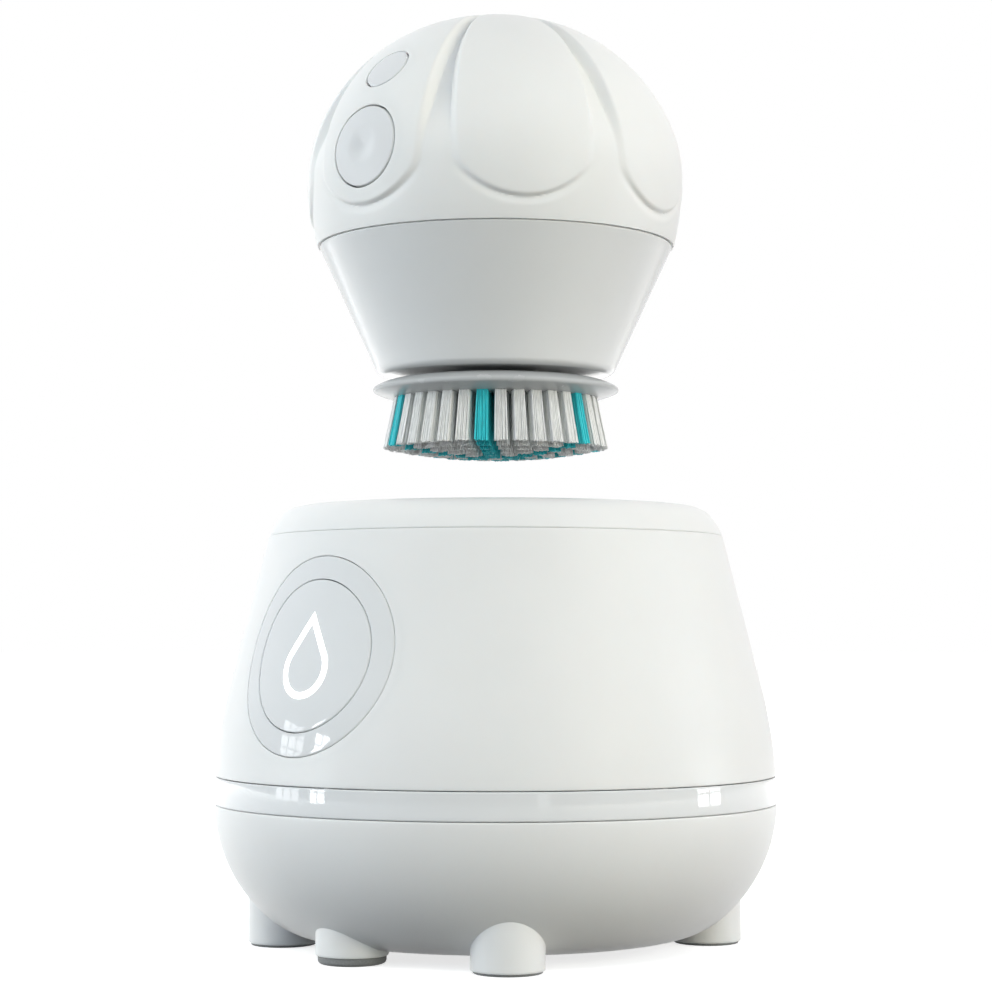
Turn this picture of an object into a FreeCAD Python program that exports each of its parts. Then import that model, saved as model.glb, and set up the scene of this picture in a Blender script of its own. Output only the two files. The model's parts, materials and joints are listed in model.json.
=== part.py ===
import FreeCAD, Part
import math
import os
import types

import Sketcher
from FreeCAD import Placement, Rotation, Vector

# A facial cleansing brush, held above the docking station that washes and dries it.
# Millimetres and degrees. +Z is up, the ground is z = 0, the buttons face -Y.

# Driving sizes: each is one cell of the sheet and can be changed by itself
DRIVING_SIZES = {
    # dock shells
    "belly_reach": 18.45, "belly_height": 26.2, "wall_arc": 81.0, "wall_lean": 14.2,
    "bowl_side": 27.0, "bowl_turn": 51.0, "bowl_corner": 14.3,
    "shell_wall": 2.2, "band_under": 0.5, "band_over": 4.47, "rim_tall": 6.15,
    "rim_top": 80.15, "rim_side": 12.0, "rim_corner": 5.2, "rim_turn": 40.0,
    "mouth_round": 2.0,
    # well of the dock
    "plate_clear": 2.04, "liner_wall": 1.8, "grille_seat": 36.0, "grille_thick": 2.0,
    "seat_gap": 0.35, "flange_thick": 2.0, "fit_gap": 0.15,
    # front panel
    "panel_rise": 0.265, "panel_radius": 17.5, "ring_wide": 4.2, "panel_deep": 1.6,
    "panel_gap": 0.12, "lens_lap": 1.3, "drop_radius": 5.3, "drop_tall": 15.2,
    "drop_stroke": 1.15, "drop_deep": 1.1, "light_box_deep": 7.0,
    # feet
    "foot_radius": 6.3, "foot_inset": 12.45, "front_foot_inset": 14.95, "pad_thick": 0.4,
    "front_pad_thick": 1.4, "pad_inset": 0.4, "foot_spread": 46.0, "rear_foot_spread": 136.0,
    # dock machinery
    "fan_drop": 14.0, "fan_inset": 4.3, "fan_hub": 7.5, "fan_pin": 1.0,
    "ballast_inset": 19.45, "ballast_wide": 11.5, "ballast_thick": 4.2, "inlet_height": 17.0,
    "inlet_radius": 5.2, "window_rise": 12.0, "window_radius": 3.4, "dock_coil_tall": 4.0,
    # handle
    "hover": 47.0, "docked_gap": 0.1, "cone_inset": 2.2, "cone_draw": 10.97,
    "cone_tall": 23.65, "cone_round": 2.0, "hub_recess": 7.7, "recess_deep": 5.9,
    "web_thick": 2.0, "ledge_height": 12.9, "lower_bay": 13.0, "spigot_inset": 2.5,
    "spigot_tall": 2.6, "seam_seal_wide": 1.0, "seam_seal_deep": 0.9,
    "ball_radius": 34.7, "ball_height": 11.45, "side_inset": 9.0, "side_turn": 19.07,
    "mid_extra": 7.75, "mid_turn": 71.0, "belt_drop": 0.4, "belt_arc": 43.9,
    "petal_belt_arc": 38.0, "channel_deep": 1.0, "dome_wall": 2.4,
    "channel_slope": 0.105, "channel_end": 26.9, "bevel_run": 1.15,
    "petal_half": 11.4, "petal_corner": 1.0, "petal_drop": 6.2,
    # handle machinery
    "plate_thick": 2.0, "chassis_inset": 12.1, "boss_inset": 2.9, "boss_radius": 2.6,
    "screw_radius": 1.1, "screw_head": 2.4, "motor_radius": 9.0, "motor_clear": 2.0,
    "battery_radius": 8.0, "battery_long": 34.0, "battery_back": 4.0, "battery_top": 26.4,
    "coil_tall": 1.8,
    "spindle_radius": 3.0, "shaft_radius": 1.5, "running_gap": 0.05, "drive_reach": 3.0,
    # buttons
    "power_tilt": 6.5, "power_radius": 7.2, "dimple_radius": 3.4, "dimple_deep": 0.8,
    "mode_tilt": 37.0, "mode_radius": 4.25, "button_gap": 0.3, "press": 0.7,
    "flange_extra": 0.7, "flange_thick_cap": 0.8, "switch_deep": 10.5, "switch_tall": 3.4,
    "switch_gap": 0.05, "bracket_wide": 12.0, "bracket_wall": 2.0,
    # brush head
    "head_gap": 0.7, "plate_lap": 1.03, "head_thick": 3.8, "hub_clear": 0.7,
    "root_gap": 0.85, "tip_gap": 0.45, "root_margin": 4.86, "tip_margin": 3.06,
    "tuft_long": 9.0, "crown_rise": 2.0, "tuft_turn": -24.3,
}

PETALS = 7
TUFT_RINGS = 6
FAN_BLADES = 7
SCREW_TURNS = (90, 210, 330)

doc = FreeCAD.newDocument("cleansing_brush")
sheet = doc.addObject("Spreadsheet::Sheet", "sizes")
sheet.Label = "sizes"


# Sizes that carry both their number and their sheet expression

class Size:
    """A length or an angle, with the sheet expression that it comes from."""

    def __init__(self, value, text):
        self.value = value
        self.text = text

    def __add__(self, other):
        other = size(other)
        return Size(self.value + other.value, f"({self.text} + {other.text})")

    def __sub__(self, other):
        other = size(other)
        return Size(self.value - other.value, f"({self.text} - {other.text})")

    def __mul__(self, other):
        other = size(other)
        return Size(self.value * other.value, f"({self.text} * {other.text})")

    def __truediv__(self, other):
        other = size(other)
        return Size(self.value / other.value, f"({self.text} / {other.text})")

    def __radd__(self, other):
        return size(other) + self

    def __rsub__(self, other):
        return size(other) - self

    def __rmul__(self, other):
        return size(other) * self

    def __neg__(self):
        return size(0) - self


def size(number):
    """A plain number as a Size; a Size stays as it is."""
    if isinstance(number, Size):
        return number
    return Size(float(number), repr(float(number)))


def root(number):
    return Size(math.sqrt(number.value), f"sqrt({number.text})")


def sine(angle):
    angle = size(angle)
    return Size(math.sin(math.radians(angle.value)), f"sin({angle.text})")


def cosine(angle):
    angle = size(angle)
    return Size(math.cos(math.radians(angle.value)), f"cos({angle.text})")


S = types.SimpleNamespace()
for row, (alias, number) in enumerate(DRIVING_SIZES.items(), start=1):
    sheet.set(f"A{row}", alias)
    sheet.set(f"B{row}", str(number))
    sheet.setAlias(f"B{row}", alias)
    setattr(S, alias, Size(number, f"<<sizes>>.{alias}"))
doc.recompute()

# Sizes that follow from the driving ones, so that what fits together stays together
S.cone_top = S.ball_radius - S.cone_inset
S.cone_bottom = S.cone_top - S.cone_draw
S.spigot_radius = S.cone_top - S.spigot_inset
S.side_arc = S.ball_radius - S.side_inset
S.mid_arc = S.side_arc + S.mid_extra
S.plate_radius = S.cone_top - S.chassis_inset
S.boss_ring = S.plate_radius - S.boss_inset
S.hub_radius = S.hub_recess - S.hub_clear
S.plate_edge = S.cone_bottom + S.plate_lap
S.root_pitch = (S.plate_edge - S.root_margin) / TUFT_RINGS
S.tip_pitch = (S.plate_edge - S.tip_margin) / TUFT_RINGS
S.tuft_root = S.root_pitch - S.root_gap
S.tuft_tip = S.tip_pitch - S.tip_gap
S.belly_radius = S.cone_top + S.belly_reach
S.band_low = S.belly_height - S.band_under
S.band_high = S.belly_height + S.band_over
S.shell_top = S.rim_top - S.rim_tall
S.throat_radius = S.plate_edge + S.plate_clear
S.panel_height = (S.band_high + S.shell_top) / 2 + S.panel_rise
S.lens_radius = S.panel_radius - S.ring_wide
S.panel_hole = S.lens_radius - S.lens_lap
S.foot_ring = S.belly_radius - S.foot_inset
S.front_foot_ring = S.belly_radius - S.front_foot_inset
S.fan_low = S.grille_seat - S.fan_drop
S.fan_radius = S.throat_radius - S.fan_inset
S.ballast_outer = S.belly_radius - S.ballast_inset
S.ballast_inner = S.ballast_outer - S.ballast_wide
S.window_height = S.grille_seat + S.window_rise


# Helpers that make bound sketches, bodies and primitives

def bind(item, path, amount):
    item.setExpression(path, size(amount).text)


def place(item, x=0, y=0, z=0, tilt=None):
    """Put an object at x, y, z; a tilt turns its axis to lean that far up from -Y."""
    if tilt is not None:
        item.Placement = Placement(Vector(), Rotation(Vector(1, 0, 0), 90 - size(tilt).value))
        bind(item, "Placement.Rotation.Angle", 90 - size(tilt))
    bind(item, "Placement.Base.x", x)
    bind(item, "Placement.Base.y", y)
    bind(item, "Placement.Base.z", z)
    return item


def arc_edge(start, end, radius):
    """An arc from start to end; a positive radius turns left, a negative one right."""
    middle = (start + end) * 0.5
    chord = end - start
    rise = math.sqrt(max(radius * radius - chord.Length ** 2 / 4, 0))
    left = Vector(-chord.y, chord.x, 0).normalize()
    centre = middle + left * (rise if radius > 0 else -rise)
    first, last = (start, end) if radius > 0 else (end, start)
    turn_first = math.atan2(first.y - centre.y, first.x - centre.x)
    turn_last = math.atan2(last.y - centre.y, last.x - centre.x)
    circle = Part.Circle(centre, Vector(0, 0, 1), abs(radius))
    return Part.ArcOfCircle(circle, turn_first, turn_last)


def outline(body, name, plane, corners, height=None):
    """A closed sketch; a corner is (x, y), or (x, y, radius) where an arc leaves it."""
    sketch = body.newObject("Sketcher::SketchObject", name)
    support = [part for part in body.Origin.OriginFeatures if part.Role == plane][0]
    sketch.AttachmentSupport = [(support, "")]
    sketch.MapMode = "FlatFace"
    if height is not None:
        bind(sketch, "AttachmentOffset.Base.z", height)
    points = [Vector(size(corner[0]).value, size(corner[1]).value, 0) for corner in corners]
    edges = []
    rules = []
    starts = []
    ends = []
    for index, corner in enumerate(corners):
        start = points[index]
        end = points[(index + 1) % len(points)]
        if len(corner) == 3:
            radius = size(corner[2])
            edges.append(arc_edge(start, end, radius.value))
            starts.append(1 if radius.value > 0 else 2)
        else:
            edges.append(Part.LineSegment(start, end))
            starts.append(1)
        ends.append(3 - starts[-1])
    sketch.addGeometry(edges, False)
    bound = []
    for index, corner in enumerate(corners):
        following = (index + 1) % len(corners)
        rules.append(Sketcher.Constraint("Coincident", index, ends[index], following,
                                         starts[following]))
        for kind, axis, amount in (("DistanceX", -2, corner[0]), ("DistanceY", -1, corner[1])):
            amount = size(amount)
            if amount.value == 0:
                rules.append(Sketcher.Constraint("PointOnObject", index, starts[index], axis))
                continue
            bound.append((len(rules), amount))
            rules.append(Sketcher.Constraint(kind, -1, 1, index, starts[index], amount.value))
        if len(corner) == 3:
            radius = size(corner[2])
            if radius.value < 0:
                radius = -radius
            bound.append((len(rules), radius))
            rules.append(Sketcher.Constraint("Radius", index, radius.value))
    sketch.addConstraint(rules)
    for number, amount in bound:
        sketch.renameConstraint(number, f"size_{number}")
        sketch.setExpression(f"Constraints.size_{number}", amount.text)
    return sketch


def new_body(name):
    body = doc.addObject("PartDesign::Body", name)
    body.Label = name
    return body


def turned(name, corners, **where):
    """A body turned about its own Z axis from a closed outline of (radius, height)."""
    body = new_body(name)
    sketch = outline(body, name + "_outline", "XZ_Plane", corners)
    turning = body.newObject("PartDesign::Revolution", name + "_turning")
    turning.Profile = sketch
    turning.ReferenceAxis = (sketch, ["V_Axis"])
    turning.Angle = 360
    sketch.Visibility = False
    return place(body, **where)


def padded(body, name, plane, corners, length, height=None, midplane=False):
    """A pad on one of a body's own planes, from a closed outline."""
    sketch = outline(body, name + "_outline", plane, corners, height)
    pad = body.newObject("PartDesign::Pad", name)
    pad.Profile = sketch
    pad.Midplane = midplane
    bind(pad, "Length", length)
    return body


def rectangle(wide, deep, x=0, y=0):
    """Corners of a rectangle centred on x, y."""
    left = x - size(wide) / 2
    right = x + size(wide) / 2
    low = y - size(deep) / 2
    high = y + size(deep) / 2
    return [(left, low), (right, low), (right, high), (left, high)]


def ring(inner, outer, low, high):
    """Outline of a plain ring."""
    return [(inner, low), (outer, low), (outer, high), (inner, high)]


def cylinder(name, radius, tall, **where):
    item = doc.addObject("Part::Cylinder", name)
    item.Label = name
    bind(item, "Radius", radius)
    bind(item, "Height", tall)
    return place(item, **where)


def block(name, wide, deep, tall, x=0, y=0, z=0):
    """A box centred on x and y that stands on z."""
    item = doc.addObject("Part::Box", name)
    item.Label = name
    bind(item, "Length", wide)
    bind(item, "Width", deep)
    bind(item, "Height", tall)
    return place(item, x=x - size(wide) / 2, y=y - size(deep) / 2, z=z)


def spoke(name, turn, inner, outer, wide, low, tall):
    """A radial bar at a turn about Z."""
    item = doc.addObject("Part::Box", name)
    item.Label = name
    item.Placement = Placement(Vector(), Rotation(Vector(0, 0, 1), turn))
    bind(item, "Length", size(outer) - inner)
    bind(item, "Width", wide)
    bind(item, "Height", tall)
    bind(item, "Placement.Base.x", inner * cosine(turn) + size(wide) / 2 * sine(turn))
    bind(item, "Placement.Base.y", inner * sine(turn) - size(wide) / 2 * cosine(turn))
    bind(item, "Placement.Base.z", low)
    return item


def boolean(kind, name, items):
    item = doc.addObject(kind, name)
    item.Label = name
    if kind == "Part::Compound":
        item.Links = items
    elif kind == "Part::Cut":
        item.Base = items[0]
        item.Tool = items[1]
    else:
        item.Shapes = items
    return item


def fused(name, items):
    return boolean("Part::MultiFuse", name, items)


def cut(name, base, tools):
    if len(tools) > 1:
        tools = [fused(name + "_tools", tools)]
    return boolean("Part::Cut", name, [base, tools[0]])


def common(name, items):
    return boolean("Part::MultiCommon", name, items)


def group(name, items):
    return boolean("Part::Compound", name, items)


def shaped(name, shape):
    """A form that no feature makes, from the sheet's sizes."""
    item = doc.addObject("Part::Feature", name)
    item.Label = name
    item.Shape = shape
    return item


NODES = []


def node(item):
    """Name an object as a sub-part of the finished brush."""
    NODES.append(item)
    return item


# Outer wall of the dock: a straight lean that runs into the belly's arc

def wall_tangent(inset):
    """Where the straight wall meets the belly arc, a given way inside the surface."""
    reach = S.wall_arc - inset
    return (S.belly_radius - S.wall_arc + reach * cosine(S.wall_lean),
            S.belly_height + reach * sine(S.wall_lean))


def wall_radius(height, inset=0):
    """Radius of the wall at a height, a given way inside the surface."""
    height = size(height)
    radius, tangent_height = wall_tangent(inset)
    if height.value >= tangent_height.value:
        slope = sine(S.wall_lean) / cosine(S.wall_lean)
        return radius - (height - tangent_height) * slope
    reach = S.wall_arc - inset
    above = height - S.belly_height
    return S.belly_radius - S.wall_arc + root(reach * reach - above * above)


def bowl_points(inset):
    """The bowl's side arc, corner arc and floor, a given way inside the surface."""
    side = S.bowl_side - inset
    corner = S.bowl_corner - inset
    across = cosine(S.bowl_turn)
    down = sine(S.bowl_turn)
    side_centre = S.belly_radius - S.bowl_side
    turn_radius = side_centre + side * across
    turn_height = S.belly_height - side * down
    corner_radius = side_centre + (S.bowl_side - S.bowl_corner) * across
    corner_height = S.belly_height - (S.bowl_side - S.bowl_corner) * down
    return side, corner, turn_radius, turn_height, corner_radius, corner_height - corner


def bowl_radius(height, inset=0):
    """Radius of the bowl's side arc at a height below the belly."""
    side = S.bowl_side - inset
    below = S.belly_height - height
    return S.belly_radius - S.bowl_side + root(side * side - below * below)


# Heights that the dock and the handle share

seam_height = S.rim_top + S.docked_gap + S.hover
cone_base = seam_height - S.cone_tall
ledge = cone_base + S.ledge_height
ball_height = seam_height + S.ball_height
cone_slope = (S.cone_top - S.cone_bottom) / S.cone_tall


def cone_radius(height):
    """Radius of the handle's cone at a height."""
    return S.cone_top - (seam_height - height) * cone_slope


def seat_radius(height):
    """Radius of the dock's conical seat: the docked cone and its clearance."""
    return cone_radius(height + S.hover) + S.seat_gap


throat_height = S.rim_top + S.docked_gap - (S.cone_top + S.seat_gap - S.throat_radius) / cone_slope
bowl_floor = bowl_points(size(0))[5]
bowl_inside = bowl_points(S.shell_wall)[5]
ballast_top = bowl_inside + S.ballast_thick
liner_outer = S.throat_radius + S.liner_wall
liner_base = S.grille_seat - S.flange_thick


# Dock shells

def make_dock_rim():
    wall = S.shell_wall
    low = S.shell_top
    corner_height = S.rim_top - S.rim_corner
    side_height = corner_height - (S.rim_side - S.rim_corner) * sine(S.rim_turn)
    rise = low - side_height
    side_radius = wall_radius(low) - root(S.rim_side * S.rim_side - rise * rise)
    corner_radius = side_radius + (S.rim_side - S.rim_corner) * cosine(S.rim_turn)
    turn_radius = corner_radius + S.rim_corner * cosine(S.rim_turn)
    turn_height = corner_height + S.rim_corner * sine(S.rim_turn)
    mouth = seat_radius(S.rim_top - S.mouth_round)
    inner_wall = seat_radius(low) + wall
    return turned("dock_rim", [
        (wall_radius(low), low, S.rim_side),
        (turn_radius, turn_height, S.rim_corner),
        (corner_radius, S.rim_top),
        (mouth + S.mouth_round, S.rim_top, S.mouth_round),
        (mouth, S.rim_top - S.mouth_round),
        (seat_radius(low), low),
        (inner_wall, low),
        (corner_radius, S.rim_top - wall),
        (wall_radius(low) - wall, low),
    ])


def wall_corners(low, high, inset):
    """Corners up the wall from low to high, by its tangent point."""
    radius, height = wall_tangent(inset)
    return [(wall_radius(low, inset), low, S.wall_arc - inset), (radius, height),
            (wall_radius(high, inset), high)]


def inner_wall_corners(low, high, inset):
    """Corners down the inside of the wall from high to low; its lower part is straight too."""
    return [(wall_radius(high, inset), high), wall_tangent(inset), (wall_radius(low, inset), low)]


def panel_placement(depth):
    """A place on the front panel's normal, a given way under the surface."""
    return {"y": depth * cosine(S.wall_lean) - wall_radius(S.panel_height),
            "z": S.panel_height - depth * sine(S.wall_lean), "tilt": S.wall_lean}


def panel_layer():
    """The outer layer of the wall, from which the panel's pieces are cut."""
    reach = S.panel_radius + 2
    low = S.panel_height - reach
    high = S.panel_height + reach
    corners = wall_corners(low, high, size(0)) + inner_wall_corners(low, high, S.panel_deep)
    return turned("panel_layer", corners)


def make_dock_shell(layer):
    low = S.band_high
    high = S.shell_top
    corners = wall_corners(low, high, size(0)) + inner_wall_corners(low, high, S.shell_wall)
    blank = turned("shell_blank", corners)
    depth = S.shell_wall + 4
    hole = cylinder("panel_hole_tool", S.panel_hole, depth * 2, **panel_placement(depth))
    disc = cylinder("panel_disc_tool", S.panel_radius, depth * 2, **panel_placement(depth))
    recess = common("panel_recess", [layer, disc])
    return cut("dock_shell", blank, [hole, recess])


def make_trim_band():
    low = S.band_low
    high = S.band_high
    return turned("trim_band", [
        (bowl_radius(low), low),
        (S.belly_radius, S.belly_height, S.wall_arc),
        (wall_radius(high), high),
        (wall_radius(high) - S.shell_wall, high),
        (bowl_radius(low) - S.shell_wall, low),
    ])


def make_dock_bowl():
    side, corner, turn_radius, turn_height, floor_radius, floor = bowl_points(size(0))
    in_side, _, in_turn_radius, in_turn_height, in_floor_radius, in_floor = \
        bowl_points(S.shell_wall)
    high = S.band_low
    blank = turned("bowl_blank", [
        (0, floor),
        (floor_radius, floor, corner),
        (turn_radius, turn_height, side),
        (bowl_radius(high), high),
        (bowl_radius(high, S.shell_wall), high),
        (S.belly_radius - S.bowl_side + in_side * cosine(S.bowl_turn / 2),
         S.belly_height - in_side * sine(S.bowl_turn / 2)),
        (in_turn_radius, in_turn_height),
        (in_floor_radius, in_floor),
        (0, in_floor),
    ])
    tools = []
    for number in range(8):
        tools.append(spoke(f"intake_slot_{number}", 22.5 + 45 * number, size(6), size(16.5),
                           2, floor - 1, S.shell_wall + 2))
    tools.append(cylinder("inlet_hole_tool", S.inlet_radius + S.fit_gap, 30,
                          y=-size(-30), z=S.inlet_height, tilt=-180))
    for number, (x, y) in enumerate(base_screw_places()):
        tools.append(cylinder(f"screw_hole_tool_{number}", S.screw_radius + S.fit_gap, 8,
                              x=x, y=y, z=floor - 1))
        tools.append(cylinder(f"screw_sink_tool_{number}", S.screw_head + S.fit_gap, 2.2,
                              x=x, y=y, z=floor - 1))
    return cut("dock_bowl", blank, tools)


def base_screw_places():
    """Places of the four screws that hold the ballast to the bowl."""
    ring_radius = (S.ballast_inner + S.ballast_outer) / 2
    return [(ring_radius * cosine(turn), ring_radius * sine(turn)) for turn in (0, 90, 180, 270)]


def make_base_screws():
    screws = []
    head_low = bowl_floor + 0.1
    for number, (x, y) in enumerate(base_screw_places()):
        head = cylinder(f"base_screw_head_{number}", S.screw_head, 1.1, x=x, y=y, z=head_low)
        shank = cylinder(f"base_screw_shank_{number}", S.screw_radius, ballast_top - head_low - 1,
                         x=x, y=y, z=head_low)
        screws.append(fused(f"base_screw_{number}", [head, shank]))
    return group("base_screws", screws)


# Front panel with its glowing drop

def make_lens_ring(layer):
    depth = S.shell_wall + 4
    outer = cylinder("ring_outer_tool", S.panel_radius - S.panel_gap, depth * 2,
                     **panel_placement(depth))
    inner = cylinder("ring_inner_tool", S.lens_radius + S.panel_gap, depth * 2,
                     **panel_placement(depth))
    return cut("lens_ring", common("ring_disc", [layer, outer]), [inner])


def drop_corners(inset):
    """A water drop: a round bottom and two straight flanks that meet in a tip."""
    radius = S.drop_radius - inset
    centre = S.drop_radius - S.drop_tall / 2
    tip = S.drop_tall - S.drop_radius
    flank = root(tip * tip - S.drop_radius * S.drop_radius)
    lean_sine = S.drop_radius / tip
    lean_cosine = flank / tip
    tip_height = centre + radius / lean_sine
    touch = centre + radius * lean_sine
    return [(0, tip_height), (-(radius * lean_cosine), touch, radius),
            (0, centre - radius, radius), (radius * lean_cosine, touch)]


def drop_prism(name):
    """The outline of the drop as a hollow prism that stands out of the panel."""
    tall = S.drop_deep + 3
    outside = padded(new_body(name + "_outside"), name + "_outside_pad", "XY_Plane",
                     drop_corners(size(0)), tall)
    inside = padded(new_body(name + "_inside"), name + "_inside_pad", "XY_Plane",
                    drop_corners(S.drop_stroke), tall)
    place(outside, **panel_placement(S.drop_deep))
    place(inside, **panel_placement(S.drop_deep))
    return cut(name, outside, [inside])


def make_lens_and_symbol(layer):
    depth = S.shell_wall + 4
    disc = cylinder("lens_disc_tool", S.lens_radius, depth * 2, **panel_placement(depth))
    blank = common("lens_blank", [layer, disc])
    drop = drop_prism("drop_outline")
    return cut("panel_lens", blank, [drop]), common("glow_drop", [layer, drop])


def make_light_box():
    """A short tube behind the panel; its front follows the inside of the wall."""
    low = S.band_high
    high = S.panel_height + S.panel_radius
    wall_inside = inner_wall_corners(low, high, S.shell_wall)
    space = turned("light_box_space", [(20, high), (20, low)] + wall_inside[::-1])
    back = S.shell_wall + S.light_box_deep
    outer = cylinder("light_box_outer", S.panel_hole + 2, back, **panel_placement(back))
    inner = cylinder("light_box_inner", S.panel_hole + 0.5, back * 2,
                     **panel_placement(back + 1))
    return common("light_box", [cut("light_box_tube", outer, [inner]), space])


def make_light_board():
    back = S.shell_wall + S.light_box_deep
    return cylinder("light_board", S.panel_hole + 2, 1.2, **panel_placement(back + 1.2))


def make_panel_lights():
    back = S.shell_wall + S.light_box_deep
    lights = []
    for number, (x, y) in enumerate(((-4, -3), (4, -3), (0, 4))):
        body = new_body(f"panel_light_{number}")
        padded(body, f"panel_light_pad_{number}", "XY_Plane", rectangle(2.8, 2.8, x, y), 1.4)
        lights.append(place(body, **panel_placement(back)))
    return group("panel_lights", lights)


# Well of the dock

def sideways(name, radius, inner_reach, long, side):
    """A cylinder that points out along +X or -X at the height of the lamp windows."""
    item = doc.addObject("Part::Cylinder", name)
    item.Placement = Placement(Vector(), Rotation(Vector(0, 1, 0), 90 * side))
    bind(item, "Radius", radius)
    bind(item, "Height", long)
    bind(item, "Placement.Base.x", inner_reach * side)
    bind(item, "Placement.Base.z", S.window_height)
    return item


def make_well_liner():
    top = S.shell_top
    wall = S.liner_wall * 1.1
    flange = wall_radius(top, S.shell_wall) - S.fit_gap
    under = top - S.flange_thick
    blank = turned("liner_blank", [
        (seat_radius(top), top),
        (S.throat_radius, throat_height),
        (S.throat_radius, S.grille_seat),
        (S.throat_radius - 2.6, S.grille_seat),
        (S.throat_radius - 2.6, liner_base),
        (liner_outer, liner_base),
        (liner_outer, throat_height - 1),
        (seat_radius(under) + wall, under),
        (flange, under),
        (flange, top),
    ])
    windows = [sideways(f"window_hole_{side + 1}", S.window_radius, S.throat_radius - 2, 6, side)
               for side in (-1, 1)]
    return cut("well_liner", blank, windows)


def make_lamps():
    """Two ultraviolet lamps behind round windows in the wall of the well."""
    windows = []
    lamps = []
    wall_tube = turned("window_wall", ring(S.throat_radius, liner_outer, liner_base + 1,
                                           throat_height - 2))
    for side in (-1, 1):
        disc = sideways(f"window_disc_{side + 1}", S.window_radius, S.throat_radius - 2, 6, side)
        windows.append(common(f"window_{side + 1}", [wall_tube, disc]))
        board = sideways(f"lamp_board_{side + 1}", S.window_radius + 2.2, liner_outer + 0.3,
                         1.2, side)
        lamps.append(board)
    return group("lamp_windows", windows), group("ultraviolet_lamps", lamps)


def make_floor_grille():
    disc = cylinder("grille_disc", S.throat_radius - S.fit_gap, S.grille_thick, z=S.grille_seat)
    tools = []
    for number in range(12):
        tools.append(spoke(f"grille_slot_{number}", 30 * number, size(6),
                           S.throat_radius - 3.6, 1.8, S.grille_seat - 1, S.grille_thick + 2))
    return cut("floor_grille", disc, tools)


def cone_outer_slope():
    """Slope of the liner's outer cone between its throat and its flange."""
    under = S.shell_top - S.flange_thick
    run = seat_radius(under) + S.liner_wall * 1.1 - liner_outer
    return run / (under - throat_height + 1)


def make_dock_coil():
    """A conical coil round the liner; it faces the coil of the docked handle."""
    low = throat_height + 4
    high = low + S.dock_coil_tall
    slope = cone_outer_slope()
    start = liner_outer + (low - throat_height + 1) * slope + S.running_gap
    end = liner_outer + (high - throat_height + 1) * slope + S.running_gap
    return turned("dock_coil", [(start, low), (start + 3, low), (end + 3, high), (end, high)])


# Drying fan, ballast, electronics and inlet

def make_fan_housing():
    tall = liner_base - S.fan_low
    hoop = turned("fan_hoop", ring(S.fan_radius, S.fan_radius + 1.8, S.fan_low, liner_base))
    hub = cylinder("fan_hub_plate", S.fan_hub, 1.6, z=S.fan_low)
    pin = cylinder("fan_pin_post", S.fan_pin, tall - 3.2, z=S.fan_low)
    arms = [spoke(f"fan_arm_{number}", 120 * number + 30, size(2), S.fan_radius + 0.9, 3,
                  S.fan_low, 1.6) for number in range(3)]
    legs = [cylinder(f"fan_leg_{number}", 1.6, S.fan_low - ballast_top,
                     x=(S.fan_radius + 1) * cosine(120 * number + 30),
                     y=(S.fan_radius + 1) * sine(120 * number + 30), z=ballast_top)
            for number in range(3)]
    return fused("fan_housing", [hoop, hub, pin] + arms + legs)


def make_fan_rotor():
    """A hub with seven twisted blades, each lofted from root to tip."""
    low = S.fan_low.value + 2.2
    high = liner_base.value - 1.2
    hub_radius = S.fan_hub.value
    tip_radius = S.fan_radius.value - 0.6
    root_pitch = 50
    tip_pitch = 32
    half_thick = 0.45
    middle = (low + high) / 2
    half_wide = ((high - low) / 2 - 0.6) / math.sin(math.radians(root_pitch))
    hub = Part.makeCylinder(hub_radius, high - low, Vector(0, 0, low))
    bore = Part.makeCylinder(S.fan_pin.value + S.running_gap.value, high - low - 1.5,
                             Vector(0, 0, low - 0.01))
    blades = []
    for number in range(FAN_BLADES):
        sections = []
        for radius, pitch in ((hub_radius - 1, root_pitch), (tip_radius, tip_pitch)):
            rise = math.sin(math.radians(pitch))
            run = math.cos(math.radians(pitch))
            corners = []
            for side, face in ((-1, -1), (1, -1), (1, 1), (-1, 1)):
                along = side * half_wide
                off = face * half_thick
                corners.append(Vector(radius, along * run - off * rise,
                                      middle + along * rise + off * run))
            sections.append(Part.makePolygon(corners + corners[:1]))
        blade = Part.makeLoft(sections, True, True)
        blade.rotate(Vector(), Vector(0, 0, 1), number * 360 / FAN_BLADES)
        blades.append(blade)
    return shaped("fan_rotor", hub.fuse(blades).cut(bore).removeSplitter())


def make_ballast():
    blank = turned("ballast_blank", ring(S.ballast_inner, S.ballast_outer, bowl_inside,
                                         ballast_top))
    holes = [cylinder(f"ballast_hole_{number}", S.screw_radius, 12, x=x, y=y, z=bowl_inside - 1)
             for number, (x, y) in enumerate(base_screw_places())]
    return cut("ballast_ring", blank, holes)


def make_dock_board():
    return block("dock_board", 26, 1.6, liner_base - 1 - ballast_top, y=liner_outer + 1.4,
                 z=ballast_top)


def make_power_inlet():
    """A round socket in the rear wall, with its contact pin."""
    face = bowl_radius(S.inlet_height - S.inlet_radius) - 0.3
    socket = turned("power_inlet", [
        (0, 0), (S.inlet_radius, 0), (S.inlet_radius, 12), (2.9, 12), (2.9, 2.5), (0, 2.5)])
    pin = turned("inlet_pin", [(0, 2.5), (1.05, 2.5), (1.05, 10.5), (0, 11)])
    for item in (socket, pin):
        place(item, y=face - 12, z=S.inlet_height, tilt=180)
    return socket, pin


# Feet

FEET = {"front": 0, "front_left": -1, "front_right": 1, "rear_left": -2, "rear_right": 2}


def foot_place(name):
    """Centre of a foot; the turn is measured from the front."""
    step = FEET[name]
    if step == 0:
        return size(0), -S.front_foot_ring
    turn = S.foot_spread if abs(step) == 1 else S.rear_foot_spread
    x = S.foot_ring * sine(turn)
    y = -(S.foot_ring * cosine(turn))
    if step < 0:
        x = -x
    return x, y


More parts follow.
